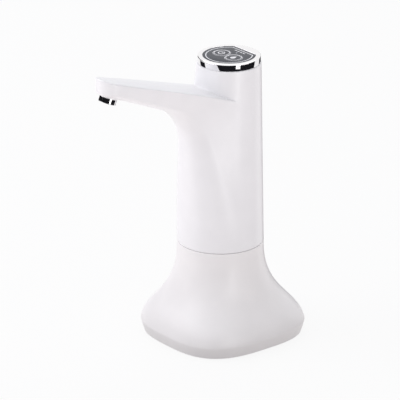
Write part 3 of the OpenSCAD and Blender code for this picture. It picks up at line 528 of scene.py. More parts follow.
@dataclass
class PumpShell(SubAssembly):
    """Tapered pump body with its rising spout and round head."""

    head_r: float = 26.6
    head_y: float = 8.8
    height: float = 153.1
    tip_z: float = 246.8
    under_z: float = 231.9
    tip_r: float = 12.5
    keel_y: float = 38.0
    under_deg: float = 23.0
    top_deg: float = 16.7
    throat_r: float = 46.0
    crown_r: float = 130.0
    wall: float = 2.4
    tip_blend: float = 3.0
    edge_round: float = 0.4
    side_round: float = 3.0
    tip_round: float = 1.3
    round_limit: float = 0.42
    fillet_r: float = 7.0
    fillet_share: float = 0.6
    saddle_share: float = 0.27
    saddle_crowding: float = 1.25
    tip_centre_back: float = 6.0
    seat_r: float = 7.45
    seat_h: float = 2.8
    neck_hole_r: float = 5.15
    cut_over: float = 1.0
    port_gap: float = 0.3
    port_corner: float = 0.6
    port_reach: float = 4.0
    least_rise: float = 0.01
    search_rise: float = 1.0
    probe: float = 0.2
    search_rounds: int = 48
    settle_rounds: int = 8
    back_columns: int = 36
    saddle_columns: int = 26
    spout_columns: int = 34
    nose_columns: int = 20
    side_rows: int = 100
    round_rows: int = 8
    top_rows: int = 14
    fillet_rows: int = 10
    head_rows: int = 14
    nozzle: NozzleFrame = field(default_factory=NozzleFrame)

    def __post_init__(self) -> None:
        """Works out the lines of the body from its box in the frame."""
        low, high = box_mm("body_shell")
        self.seam_r = high[0]
        self.seam_z = low[2]
        self.tip_y = -low[1]
        self.rim_z = self.seam_z + self.height
        self.reach = self.tip_y - self.tip_r
        self.spout_top = high[2] + self.wall
        under = math.radians(self.under_deg)
        self.under_slope = math.tan(under)
        self.under_sine = math.sin(under)
        self.throat_y = self.keel_y + self.throat_r
        corner_z = self.under_z - (self.reach - self.keel_y) * self.under_slope
        self.throat_z = corner_z - self.throat_r * math.tan((math.pi / 2 - under) / 2)

    def back(self, z: np.ndarray, inset: float) -> tuple[np.ndarray, np.ndarray]:
        """Gives radius and y of the body's rear circle at each level, inset under the outer skin."""
        rise = (z - self.seam_z) / self.height
        return self.seam_r + (self.head_r - self.seam_r) * rise - inset, self.head_y * rise

    def front(self, z: np.ndarray, inset: float) -> np.ndarray:
        """Gives how far the body reaches forward at each level.

        Args:
            z: levels.
            inset: distance under the outer skin.

        Returns:
            Reach along -y: keel, throat, underside of the spout, then its blunt tip.
        """
        throat = self.throat_r + inset
        keel = self.seam_r + (self.keel_y - self.seam_r) * (z - self.seam_z) / (self.throat_z - self.seam_z)
        bow = self.throat_y - np.sqrt(np.maximum(throat**2 - (z - self.throat_z) ** 2, 0))
        under = self.reach + (z - self.under_z) / self.under_slope - inset / self.under_sine
        throat_top = self.throat_z + throat * math.cos(math.radians(self.under_deg))
        line = np.where(z < self.throat_z, keel - inset, np.where(z < throat_top, bow, under))
        tip = self.tip_y - inset
        mix = np.clip(0.5 + 0.5 * (tip - line) / self.tip_blend, 0, 1)
        return tip + (line - tip) * mix - self.tip_blend * mix * (1 - mix)

    def point(self, zone: np.ndarray, share: np.ndarray, z: np.ndarray, inset: float) -> np.ndarray:
        """Gives points on the side of the body.

        Args:
            zone: rear circle, flat side or nose circle.
            share: place within the zone, from 0 at the rear to 1 at the front.
            z: levels.
            inset: distance under the outer skin.

        Returns:
            Points, with x, y, z in the last axis.
        """
        at = np.maximum(z, self.seam_z + self.least_rise)
        back_r, back_y = self.back(at, inset)
        phase = 0.5 * math.pi * (at - self.seam_z) / (self.tip_z - self.seam_z)
        nose_r = self.tip_r + (self.seam_r - self.tip_r) * np.cos(phase) ** 2 - inset
        nose_y = nose_r - self.front(at, inset)
        tangent = np.arccos(np.clip((back_r - nose_r) / (back_y - nose_y), -1, 1))
        turn = np.where(zone == Zone.REAR, math.pi - (math.pi - tangent) * share, tangent * (1 - share))
        turn = np.where(zone == Zone.SIDE, tangent, turn)
        rear_x = back_r * np.sin(turn)
        rear_y = back_y - back_r * np.cos(turn)
        nose_x = nose_r * np.sin(turn)
        fore_y = nose_y - nose_r * np.cos(turn)
        mix = np.where(zone == Zone.REAR, 0.0, np.where(zone == Zone.SIDE, share, 1.0))
        x = rear_x + (nose_x - rear_x) * mix
        y = rear_y + (fore_y - rear_y) * mix
        return np.stack(np.broadcast_arrays(x, y, z), axis=-1)

    def crown(self, x: np.ndarray, y: np.ndarray, inset: float) -> np.ndarray:
        """Gives the level of the crowned, sloping top of the spout.

        Args:
            x: distance from the middle plane.
            y: place along the spout.
            inset: distance under the outer skin.

        Returns:
            The level.
        """
        slope = math.radians(self.top_deg)
        bulge = np.sqrt((self.crown_r - inset) ** 2 - x**2) - self.crown_r
        return self.tip_z + (bulge - (y + self.reach) * math.sin(slope)) / math.cos(slope)

    def cone(self, turn: np.ndarray, z: np.ndarray, inset: float) -> np.ndarray:
        """Gives points on the round head, by the angle about its axis from the front and the level."""
        radius, y = self.back(z, inset)
        return np.stack([radius * np.sin(turn), y - radius * np.cos(turn), z], axis=-1)

    def saddle(self, turn: np.ndarray, gap: np.ndarray, lift: np.ndarray, inset: float) -> np.ndarray:
        """Gives points of the top beside the head.

        Args:
            turn: angle about the head's axis, 0 at the front.
            gap: distance from the head.
            lift: height over the crowned top.
            inset: distance under the outer skin.

        Returns:
            Points, with x, y, z in the last axis.
        """
        z = np.full(np.broadcast(turn, gap).shape, self.rim_z)
        for _ in range(self.settle_rounds):
            back_r, back_y = self.back(z, inset)
            x = (back_r + gap) * np.sin(turn)
            y = back_y - (back_r + gap) * np.cos(turn)
            z = self.crown(x, y, inset) + lift
        return np.stack([x, y, z], axis=-1)

    def side_columns(self) -> tuple[np.ndarray, np.ndarray]:
        """Spreads the columns of the side from the head to the middle of the tip.

        Returns:
            Zone and share of each column.
        """
        shares = [
            self.saddle_share * np.linspace(0, 1, self.saddle_columns) ** self.saddle_crowding,
            np.linspace(self.saddle_share, 1, self.spout_columns)[1:],
            np.linspace(0, 1, self.nose_columns)[1:],
        ]
        zones = (Zone.SIDE, Zone.SIDE, Zone.NOSE)
        zone = np.concatenate([np.full(len(part), int(where)) for where, part in zip(zones, shares)])
        return zone, np.concatenate(shares)

    def edge_level(self, zone: np.ndarray, share: np.ndarray, inset: float) -> np.ndarray:
        """Finds where the side meets the crowned top, by halving.

        Args:
            zone: zone of each column.
            share: place of each column in its zone.
            inset: distance under the outer skin.

        Returns:
            Level of the sharp edge in each column.
        """
        low = np.full(len(share), self.seam_z + self.search_rise)
        high = np.full(len(share), self.spout_top)
        for _ in range(self.search_rounds):
            middle = (low + high) / 2
            spot = self.point(zone, share, middle, inset)
            under = middle < self.crown(spot[:, 0], spot[:, 1], inset)
            low = np.where(under, middle, low)
            high = np.where(under, high, middle)
        return (low + high) / 2

    def spout_rows(self, edge: np.ndarray, first: np.ndarray, inset: float) -> np.ndarray:
        """Makes the top of the spout, from its edge to the middle plane.

        Args:
            edge: points of the edge, from the saddle to the tip.
            first: column that the saddle ends with.
            inset: distance under the outer skin.

        Returns:
            Points, rows by columns by three.
        """
        q = np.linspace(0, 1, self.top_rows)[:, None]
        edge_x, edge_y = edge[:, 0], edge[:, 1]
        flat = self.spout_columns
        turn_y = edge_y[flat - 1] + self.tip_centre_back / 2
        tip_y = edge_y[-1] + self.tip_centre_back
        middle_y = np.concatenate([
            np.interp(edge_y[:flat], [edge_y[flat - 1], edge_y[0]], [turn_y, first[-1, 1]]),
            np.linspace(turn_y, tip_y, self.nose_columns)[1:],
        ])
        x = edge_x * (1 - q)
        y = edge_y + (middle_y - edge_y) * q
        rows = np.stack([x, y, self.crown(x, y, inset)], axis=-1)
        rows[:, 0] = first
        return rows

    def rear_sheet(self, edge_z: float, turn: float, inset: float) -> np.ndarray:
        """Makes the rear of the body and of the head.

        Args:
            edge_z: level at which the head begins.
            turn: angle about the head's axis at which the rear ends.
            inset: distance under the outer skin.

        Returns:
            Points, rows by columns by three.
        """
        share = np.linspace(0, 1, self.back_columns)
        across = np.ones(self.back_columns)
        rise = np.linspace(0, 1, self.side_rows)[:, None]
        body_z = (self.seam_z + (edge_z - self.seam_z) * rise) * across
        body = self.point(across * Zone.REAR, share, body_z, inset)
        step = np.linspace(0, 1, self.head_rows)[1:, None]
        head_z = (edge_z + (self.rim_z - edge_z) * step) * across
        head = self.cone(math.pi - (math.pi - turn) * share, head_z, inset)
        return np.concatenate([body, head])

    def hollow(self, foot: np.ndarray, fillet: np.ndarray, inset: float) -> np.ndarray:
        """Makes the hollow between spout and head, and the front of the head over it.

        Args:
            foot: angle of each column about the head's axis.
            fillet: radius of the hollow in each column.
            inset: distance under the outer skin.

        Returns:
            Points, rows by columns by three.
        """
        tau = np.linspace(0, math.pi / 2, self.fillet_rows)[1:, None]
        bend = self.saddle(foot, fillet * (1 - np.sin(tau)), fillet * (1 - np.cos(tau)), inset)
        step = np.linspace(0, 1, self.head_rows)[1:, None]
        head_z = bend[-1, :, 2] + (self.rim_z - bend[-1, :, 2]) * step
        return np.concatenate([bend, self.cone(foot, head_z, inset)])

    def skin(self, inset: float) -> dict[str, np.ndarray]:
        """Makes one half of a skin.

        Args:
            inset: distance under the outer skin.

        Returns:
            Sheets named back, saddle and spout, each rows by columns by three.
        """
        zone, share = self.side_columns()
        edge_z = self.edge_level(zone, share, inset)
        edge = self.point(zone, share, edge_z, inset)
        back_r, back_y = self.back(edge_z, inset)
        gap = np.hypot(edge[:, 0], edge[:, 1] - back_y) - back_r
        turn = np.arctan2(edge[:, 0], back_y - edge[:, 1])

        # The saddle is the top beside the head, and its rows end where the hollow begins.
        saddle = slice(0, self.saddle_columns)
        fore = slice(self.saddle_columns - 1, len(share))
        q = np.linspace(0, 1, self.top_rows)[:, None]
        fillet = np.minimum(self.fillet_r, self.fillet_share * np.maximum(gap[saddle], 0))
        foot = turn[0] * (1 - share[saddle] / self.saddle_share)
        reach = gap[saddle] + (fillet - gap[saddle]) * q
        near = self.saddle(turn[saddle] + (foot - turn[saddle]) * q, reach, np.zeros_like(reach), inset)
        near[0] = edge[saddle]
        far = self.spout_rows(edge[fore], near[:, -1], inset)

        soft = self.side_round + (self.tip_round - self.side_round) * share
        soft = np.where(zone == Zone.NOSE, self.tip_round, soft)
        sheets = {"back": self.rear_sheet(edge_z[0], turn[0], inset)}
        for key, pick, top in (("saddle", saddle, near), ("spout", fore, far)):
            sheets[key] = self.rounded_edge(zone[pick], share[pick], edge_z[pick], top, soft[pick], inset)
        sheets["saddle"] = np.concatenate([sheets["saddle"], self.hollow(foot, fillet, inset)])
        return sheets

    def rounded_edge(
        self,
        zone: np.ndarray,
        share: np.ndarray,
        edge_z: np.ndarray,
        top: np.ndarray,
        soft: np.ndarray,
        inset: float,
    ) -> np.ndarray:
        """Makes the side columns and rounds the edge between them and the top.

        Args:
            zone: zone of each column.
            share: place of each column in its zone.
            edge_z: level of the sharp edge.
            top: points of the top from the edge inwards, rows by columns by three.
            soft: wanted setback of the rounding.
            inset: distance under the outer skin.

        Returns:
            Points of side, rounding and top, rows by columns by three.
        """
        edge = top[0]
        length = np.linalg.norm(top[-1] - edge, axis=-1)
        setback = np.minimum(soft, self.round_limit * length)
        below = self.point(zone, share, edge_z - self.probe, inset)
        pace = np.linalg.norm(edge - below, axis=-1) / self.probe
        stop_z = edge_z - setback / pace
        rise = np.linspace(0, 1, self.side_rows)[:, None]
        side = self.point(zone, share, self.seam_z + (stop_z - self.seam_z) * rise, inset)
        q = np.linspace(0, 1, self.top_rows)
        part = np.divide(setback, length, out=np.zeros_like(length), where=length > TINY)
        place = part + (1 - part) * q[:, None]
        rest = np.stack([
            np.stack([np.interp(place[:, c], q, top[:, c, k]) for k in range(3)], axis=-1)
            for c in range(top.shape[1])
        ], axis=1)
        t = np.linspace(0, 1, self.round_rows)[1:-1, None, None]
        bend = (1 - t) ** 2 * side[-1] + 2 * t * (1 - t) * edge + t**2 * rest[0]
        return np.concatenate([side, bend, rest])

    def rim_rows(self, outer: np.ndarray, inner: np.ndarray, sign: float) -> np.ndarray:
        """Makes the end face of the shell with a rounded outer edge.

        Args:
            outer: end row of the outer skin.
            inner: end row of the inner skin.
            sign: 1 at the top, -1 at the foot.

        Returns:
            Rows from the outer to the inner skin.
        """
        drop = np.array([0.0, 0.0, sign * self.edge_round])
        inward = inner - outer
        inward = inward / np.linalg.norm(inward, axis=-1, keepdims=True) * self.edge_round
        rows = [outer - drop]
        for angle in EDGE_TURNS[1:]:
            rows.append(outer - drop * (1 - math.sin(angle)) + inward * (1 - math.cos(angle)))
        rows.append(inner)
        return np.stack(rows)

    def build(self) -> None:
        """Makes the shell with its nozzle seat, nozzle hole and charging slot."""
        sketch = MeshSketch()
        outer = self.skin(0.0)
        inner = self.skin(self.wall)
        ends = ((("back", "saddle", "spout"), 0, -1.0), (("back", "saddle"), -1, 1.0))
        for keys, row, sign in ends:
            for key in keys:
                face = self.rim_rows(outer[key][row], inner[key][row], sign)
                outer[key][row] = face[0]
                sketch.mirrored(face)
        for sheets in (outer, inner):
            for points in sheets.values():
                sketch.mirrored(points)
        shell = sketch.build("pump_shell")
        seat = self.nozzle.plug("seat", self.seat_r, 0.0, self.seat_h)
        combine(shell, seat, Joining.ADD)
        hole_top = self.seat_h + self.cut_over
        neck_hole = self.nozzle.plug("neck_hole", self.neck_hole_r, -self.cut_over, hole_top)
        combine(shell, neck_hole, Joining.CUT)
        combine(shell, self.port_slot(), Joining.CUT)
        self.dress(shell, Body.PUMP, "shell_white", "body_shell")

    def port_slot(self) -> bpy.types.Object:
        """Makes the tool that cuts the charging slot through the rear wall.

        Returns:
            The tool.
        """
        low, high = box_mm("charge_port")
        middle = (low + high) / 2
        half = (high - low) / 2 + self.port_gap
        outline = rounded_box(half[0], half[2], half[2] * self.port_corner)
        return tunnel("port_tool", outline, middle[2], (middle[1], middle[1] + self.port_reach * half[1]))


@dataclass
class TableBase(SubAssembly):
    """Flared base with a round top and a rounded square foot."""

    outline_power: float = 3.0
    flare: tuple[float, float, float, float] = (80.0, 32.0, 30.0, 8.0)
    wall: float = 3.0
    web: float = 2.6
    bore_r: float = 24.5
    edge_round: float = 0.5
    rim_t: float = 0.85
    rim_h: float = 9.5
    foot_tuck: float = 2.5
    tuck_power: float = 1.1
    slot_w: float = 14.0
    slot_h: float = 14.0
    slot_under: float = 1.0
    slot_over: float = 5.0
    probe: float = 0.01
    columns: int = 256
    flare_rows: int = 64
    rim_rows: int = 10
    tuck_rows: int = 13
    inner_rows: int = 24
    arch_steps: int = 25

    def __post_init__(self) -> None:
        """Takes the box of the base and the radius of the seam from the frame."""
        self.low, self.high = box_mm("base_shell")
        self.seam_r = box_mm("body_shell")[1][0]

    def outline(self, spread: float, inset: float, z: float) -> np.ndarray:
        """Gives one level of the base.

        Args:
            spread: 0 for the round top, 1 for the rounded square foot.
            inset: distance under the outer skin.
            z: level.

        Returns:
            Points, columns by three.
        """
        half = (self.high - self.low) / 2
        centre_y = (self.high[1] + self.low[1]) / 2
        turn = np.linspace(0, 2 * math.pi, self.columns, endpoint=False)
        cos, sin = np.cos(turn), np.sin(turn)
        power = 2 / self.outline_power
        square_x = (half[0] - inset) * np.sign(cos) * np.abs(cos) ** power
        square_y = centre_y + (half[1] - inset) * np.sign(sin) * np.abs(sin) ** power
        x = (1 - spread) * (self.seam_r - inset) * cos + spread * square_x
        y = (1 - spread) * (self.seam_r - inset) * sin + spread * square_y
        return np.column_stack([x, y, np.full(self.columns, z)])

    def flare_level(self, t: float) -> tuple[float, float]:
        """Gives one step down the flare.

        Args:
            t: 0 at the top, 1 at the rim.

        Returns:
            Spread and level.
        """
        a, b, c, d = self.flare
        level = (1 - t) ** 3 * a + 3 * (1 - t) ** 2 * t * b + 3 * (1 - t) * t**2 * c + t**3 * d
        return 3 * t**2 - 2 * t**3, level

    def rim_level(self, u: float) -> tuple[float, float]:
        """Gives one step round the edge between flare and rim.

        Args:
            u: 0 at the end of the flare, 1 at the top of the upright rim.

        Returns:
            Spread and level.
        """
        spread, level = self.flare_level(self.rim_t)
        spread_on, level_on = self.flare_level(self.rim_t + self.probe)
        corner = level + (1 - spread) * (level_on - level) / (spread_on - spread)
        weights = np.array([(1 - u) ** 2, 2 * u * (1 - u), u**2])
        rim_top = self.low[2] + self.rim_h
        return float(weights @ [spread, 1.0, 1.0]), float(weights @ [level, corner, rim_top])

    def build(self) -> None:
        """Makes the base shell with its bore and hose slot."""
        top = self.high[2]
        foot = self.low[2]
        bore_inset = self.seam_r - self.bore_r
        rows = [self.outline(0.0, bore_inset, top)]
        for angle in EDGE_TURNS[::-1]:
            inset = self.edge_round * (1 - math.cos(angle))
            rows.append(self.outline(0.0, inset, top - self.edge_round * (1 - math.sin(angle))))
        for t in np.linspace(0, self.rim_t, self.flare_rows):
            spread, level = self.flare_level(t)
            rows.append(self.outline(spread, 0.0, level))
        for u in np.linspace(0, 1, self.rim_rows)[1:]:
            spread, level = self.rim_level(u)
            rows.append(self.outline(spread, 0.0, level))
        for share in np.linspace(0, 1, self.tuck_rows)[1:]:
            inset = self.foot_tuck * share**self.tuck_power
            rows.append(self.outline(1.0, inset, foot + self.rim_h * (1 - share)))
        rows.append(self.outline(1.0, self.wall, foot))
        for t in np.linspace(1, 0, self.inner_rows):
            spread, level = self.flare_level(t)
            rows.append(self.outline(spread, self.wall, min(level, top - self.web)))
        rows.append(self.outline(0.0, bore_inset, top - self.web))
        sketch = MeshSketch()
        sketch.sheet(np.stack(rows), closed=True, looped=True)
        base = sketch.build("flared_base")
        combine(base, self.slot_tool(), Joining.CUT)
        self.dress(base, Body.BASE, "base_white", "base_shell")

    def slot_tool(self) -> bpy.types.Object:
        """Makes the tool that cuts the hose slot through the rear of the foot.

        Returns:
            The tool.
        """
        half = self.slot_w / 2
        arch = arc((0.0, self.slot_h - half), half, 0, 180, self.arch_steps)
        outline = np.array([(half, -self.slot_under), *arch, (-half, -self.slot_under)])
        return tunnel("slot_tool", outline, 0.0, (self.high[1] / 2, self.high[1] + self.slot_over))


@dataclass
class Outlet(SubAssembly):
    """Chrome nozzle under the tip of the spout."""

    radius: float = 7.3
    length: float = 4.7
    bore_r: float = 4.0
    neck_r: float = 5.0
    chamber_h: float = 10.5
    lid: float = 1.0
    edge_round: float = 0.5
    foot_hold: float = 1.2
    top_hold: float = 0.7
    edge_steps: int = 5
    shoulder_steps: int = 4
    nozzle: NozzleFrame = field(default_factory=NozzleFrame)

    def build(self) -> None:
        """Makes the nozzle with rounded edges and its bore."""
        soft = self.edge_round
        foot = -self.length
        profile = [(0.0, self.chamber_h - self.lid), (self.bore_r, self.chamber_h - self.lid)]
        profile += arc((self.bore_r + soft, foot + soft), soft, 180, 270, self.edge_steps)
        profile += arc((self.radius - soft, foot + soft), soft, -90, 0, self.edge_steps)
        # These two points lie close to the rounded edges and keep the shading of the wall straight.
        profile += [(self.radius, foot + self.foot_hold * soft), (self.radius, -self.top_hold * soft)]
        profile += arc((self.radius - soft / 2, -soft / 2), soft / 2, 0, 90, self.shoulder_steps)
        profile += [(self.neck_r, 0.0), (self.neck_r, self.chamber_h), (0.0, self.chamber_h)]
        nozzle = self.nozzle.turned("chrome_nozzle", profile)
        self.dress(nozzle, Body.PUMP, "chrome_trim", "spout_nozzle")


@dataclass
class Head(SubAssembly):
    """Chrome ring, dark control panel and two keys on top of the pump."""

    keys: tuple[Body, Body] = (Body.POWER_KEY, Body.FILL_KEY)
    skirt_h: float = 6.0
    skirt_t: float = 1.6
    skirt_inset: float = 1.85
    bevel: float = 0.9
    fit_gap: float = 0.15
    ledge_w: float = 1.5
    ledge_t: float = 1.4
    soft: float = 0.25
    key_flange: float = 0.5
    key_flange_t: float = 0.8
    key_soft: float = 0.2
    key_post_r: float = 2.0
    print_t: float = 0.03
    border_inset: float = 2.2
    border_w: float = 0.8
    key_line_r: float = 6.65
    key_line_w: float = 0.6
    bezel_gap: float = 0.1
    bezel_w: float = 0.4
    mark_w: float = 0.9
    mark_r: float = 2.6
    bow_drop: float = 0.3
    bow_turns: tuple[float, float] = (125.0, 415.0)
    bar_lift: float = 0.4
    bowl_drop: float = 0.7
    bowl_share: float = 0.85
    bowl_turns: tuple[float, float] = (150.0, 390.0)
    drop_share: float = 1.35
    light_r: float = 1.0
    cut_over: float = 1.0
    dash_back: float = 11.4
    dash_pitch: float = 3.4
    dash_half: tuple[float, float] = (1.3, 0.55)
    dash_round: float = 0.9
    dash_count: int = 4
    columns: int = 240
    soft_steps: int = 4
    bevel_steps: int = 10
    panel_steps: int = 5
    key_steps: int = 6
    hole_steps: int = 60
    light_steps: int = 24
    line_steps: int = 72
    bow_steps: int = 48
    bowl_steps: int = 40

    def __post_init__(self) -> None:
        """Takes the boxes of ring and panel from the frame and sets the angles of the columns."""
        self.ring_low, self.ring_high = box_mm("chrome_ring")
        self.panel_low, self.panel_high = box_mm("control_panel")
        self.ring_r = self.ring_high[0]
        self.centre_y = (self.ring_low[1] + self.ring_high[1]) / 2
        self.panel_r = self.panel_high[0]
        self.chord = self.panel_high[1] - self.centre_y
        corner = math.acos((self.chord + self.fit_gap) / (self.panel_r + self.fit_gap))
        around = np.linspace(0, 2 * math.pi, self.columns, endpoint=False)
        corners = [math.pi - corner, math.pi + corner]
        self.turn = np.sort(np.concatenate([around, corners]))

    def around(self, radius: float | np.ndarray) -> np.ndarray:
        """Gives points about the head's axis, columns by two."""
        x = radius * np.sin(self.turn)
        return np.column_stack([x, self.centre_y - radius * np.cos(self.turn)])

    def panel_line(self, grow: float) -> np.ndarray:
        """Gives the panel's outline, a circle with a straight rear edge, grown by a distance."""
        rear = np.maximum(-np.cos(self.turn), TINY)
        return self.around(np.minimum(self.panel_r + grow, (self.chord + grow) / rear))

    def key_hole(self, node: str) -> tuple[np.ndarray, float]:
        """Gives the place of a key's hole in the panel.

        Args:
            node: CAD node of the key.

        Returns:
            Middle and radius of the hole.
        """
        low, high = box_mm(node)
        middle = (low + high) / 2
        return middle[:2], high[0] - middle[0] - self.key_flange + self.fit_gap

    def print_circle(
        self, ink: MeshSketch, centre: np.ndarray, radii: tuple[float, float], level: float
    ) -> None:
        """Prints a circular line with an outer and an inner radius on the surface at a level."""
        outer, inner = (full_circle(centre, radius, self.line_steps) for radius in radii)
        ink.band(outer, inner, level, level + self.print_t)

    def build(self) -> None:
        """Makes ring, panel, prints and keys."""
        self.build_ring()
        self.build_panel()
        self.build_panel_print()
        for key, marks in zip(self.keys, (self.power_mark(), self.drop_mark())):
            self.build_key(key, marks)

    def build_ring(self) -> None:
        """Makes the chrome ring with a rounded outer edge and the panel's recess."""
        foot = self.ring_low[2]
        top = self.ring_high[2]
        rim = foot + self.skirt_h
        skirt_r = self.ring_r - self.skirt_inset
        seat = self.panel_low[2]
        rows = [(self.around(skirt_r), foot), (self.around(skirt_r), rim)]
        for r, z in arc((self.ring_r - self.soft, rim + self.soft), self.soft, -90, 0, self.soft_steps):
            rows.append((self.around(r), z))
        for r, z in arc((self.ring_r - self.bevel, top - self.bevel), self.bevel, 0, 90, self.bevel_steps):
            rows.append((self.around(r), z))
        for grow, z in arc((self.fit_gap + self.soft, top - self.soft), self.soft, 90, 180, self.soft_steps):
            rows.append((self.panel_line(grow), z))
        rows += [
            (self.panel_line(self.fit_gap), seat),
            (self.panel_line(-self.ledge_w), seat),
            (self.panel_line(-self.ledge_w), seat - self.ledge_t),
            (self.around(skirt_r - self.skirt_t), seat - self.ledge_t),
            (self.around(skirt_r - self.skirt_t), foot),
        ]
        sketch = MeshSketch()
        sketch.sheet(stacked(rows), closed=True, looped=True)
        self.dress(sketch.build("head_ring"), Body.PUMP, "chrome_trim", "chrome_ring")

    def build_panel(self) -> None:
        """Makes the panel with a soft edge and the holes for keys and light."""
        low, top = self.panel_low[2], self.panel_high[2]
        rows = [(self.panel_line(0.0), low)]
        for grow, z in arc((-self.soft, top - self.soft), self.soft, 0, 90, self.panel_steps):
            rows.append((self.panel_line(grow), z))
        sketch = MeshSketch()
        sketch.capped(stacked(rows))
        panel = sketch.build("head_panel")
        outlines = [full_circle(*self.key_hole(key.value), self.hole_steps) for key in self.keys]
        light_low, light_high = box_mm("status_light")
        light_middle = (light_low + light_high) / 2
        outlines.append(full_circle(light_middle[:2], self.light_r, self.light_steps))
        holes = MeshSketch()
        for outline in outlines:
            holes.prism(outline, low - self.cut_over, top + self.cut_over)
        combine(panel, holes.build("hole_tool"), Joining.CUT)
        self.dress(panel, Body.PUMP, "panel_slate", "control_panel")

    def build_panel_print(self) -> None:
        """Prints a border line, a circle around each key and plain level dashes on the panel."""
        top = self.panel_high[2]
        sketch = MeshSketch()
        outer = self.panel_line(-self.border_inset)
        inner = self.panel_line(-self.border_inset - self.border_w)
        sketch.band(outer, inner, top, top + self.print_t)
        for key in self.keys:
            middle, hole_r = self.key_hole(key.value)
            radius = hole_r + self.bezel_gap
            self.print_circle(sketch, middle, (radius + self.bezel_w, radius), top)
        dash = rounded_box(*self.dash_half, self.dash_half[1] * self.dash_round)
        for step in np.arange(self.dash_count) - (self.dash_count - 1) / 2:
            place = np.array([step * self.dash_pitch, self.centre_y + self.dash_back])
            sketch.prism(dash + place, top, top + self.print_t)
        self.dress(sketch.build("panel_print"), Body.PUMP, "print_silver")

    def build_key(self, key: Body, marks: list[np.ndarray]) -> None:
        """Makes one key with its outline and mark.

        Args:
            key: body of the key, which has the name of its CAD node.
            marks: outlines of the mark about the key's middle.
        """
        node = key.value
        low, high = box_mm(node)
        middle = (low + high) / 2
        flange_r = high[0] - middle[0]
        radius = flange_r - self.key_flange
        top = high[2]
        flange_z = self.panel_low[2] - self.fit_gap
        profile = [(0.0, top)]
        profile += arc((radius - self.key_soft, top - self.key_soft), self.key_soft, 90, 0, self.key_steps)
        profile += [
            (radius, flange_z),
            (flange_r, flange_z),
            (flange_r, flange_z - self.key_flange_t),
            (self.key_post_r, flange_z - self.key_flange_t),
            (self.key_post_r, low[2]),
            (0.0, low[2]),
        ]
        sketch = MeshSketch()
        sketch.sheet(lathe(profile, tuple(middle[:2])), closed=True)
        self.dress(sketch.build(f"{node}_cap"), key, "key_slate", node)
        ink = MeshSketch()
        self.print_circle(ink, middle[:2], (self.key_line_r, self.key_line_r - self.key_line_w), top)
        for mark in marks:
            ink.prism(mark + middle[:2], top, top + self.print_t)
        self.dress(ink.build(f"{node}_print"), key, "print_silver")

    def power_mark(self) -> list[np.ndarray]:
        """Gives the generic power symbol.

        Returns:
            Outlines of its bow and its bar.
        """
        bow = np.array(arc((0.0, -self.bow_drop), self.mark_r, *self.bow_turns, self.bow_steps))
        bar = np.array([(0.0, self.mark_r + self.bar_lift), (0.0, self.bar_lift)])
        return [stroke(bow, self.mark_w), stroke(bar, self.mark_w)]

    def drop_mark(self) -> list[np.ndarray]:
        """Gives the outline of a generic drop."""
        bowl = arc((0.0, -self.bowl_drop), self.mark_r * self.bowl_share, *self.bowl_turns, self.bowl_steps)
        return [np.array([*bowl, (0.0, self.mark_r * self.drop_share)])]


@dataclass(frozen=True)
class Lamp:
    """Soft lamp that faces the part.

    Its place is an angle to the right of the camera, an angle over the floor and a distance in metres,
    and its size is in metres. A lamp that is not glossy leaves no image in shiny surfaces.
    """

    name: str
    turn_deg: float
    rise_deg: float
    distance: float
    size: tuple[float, float]
    watts: float
    tint: LampTint
    glossy: bool = True


@dataclass(frozen=True)
class Card:
    """Card around the part, first along the floor and then upright, that only mirrors see.

    The turns are its first and last angle to the right of the camera, the reach is its inner radius and
    the outer one at which it turns upright. Lengths are metres. A glow of 0 makes a dark card.
    """

    name: str
    turns: tuple[float, float]
    reach: tuple[float, float]
    height: float
    lift: float = 0.001
    glow: float = 0.0
    thickness: float = 0.02
    steps: int = 32
    colour: tuple[float, float, float, float] = (0.01, 0.01, 0.012, 1.0)


LAMPS = (
    Lamp("key_left", -55.0, 25.0, 1.8, (1.6, 1.2), 3.4, LampTint.LAVENDER, glossy=False),
    Lamp("key_high", -90.0, 38.0, 1.8, (1.4, 1.2), 11.8, LampTint.LAVENDER),
    Lamp("rear_top", 180.0, 58.0, 1.8, (1.6, 1.2), 7.0, LampTint.LAVENDER),
    Lamp("low_right", 60.0, 7.0, 1.2, (0.6, 0.35), 1.4, LampTint.ROSE),
)

CARDS = (
    Card("dark_card", (-58.0, 106.0), (0.1, 2.0), height=1.1),
    Card("dark_left", (-155.0, -56.0), (1.5, 1.55), height=0.75),
    Card("dark_rear", (-130.0, -98.0), (0.45, 0.75), height=0.002),
    Card("dark_behind", (140.0, 178.0), (0.1, 2.0), height=0.002),
    Card("strip_near", (25.0, 42.0), (0.5, 0.72), height=0.003, lift=0.002, glow=1.1),
    Card("strip_far", (26.0, 41.0), (0.84, 1.9), height=1.0, lift=0.002, glow=3.4),
)


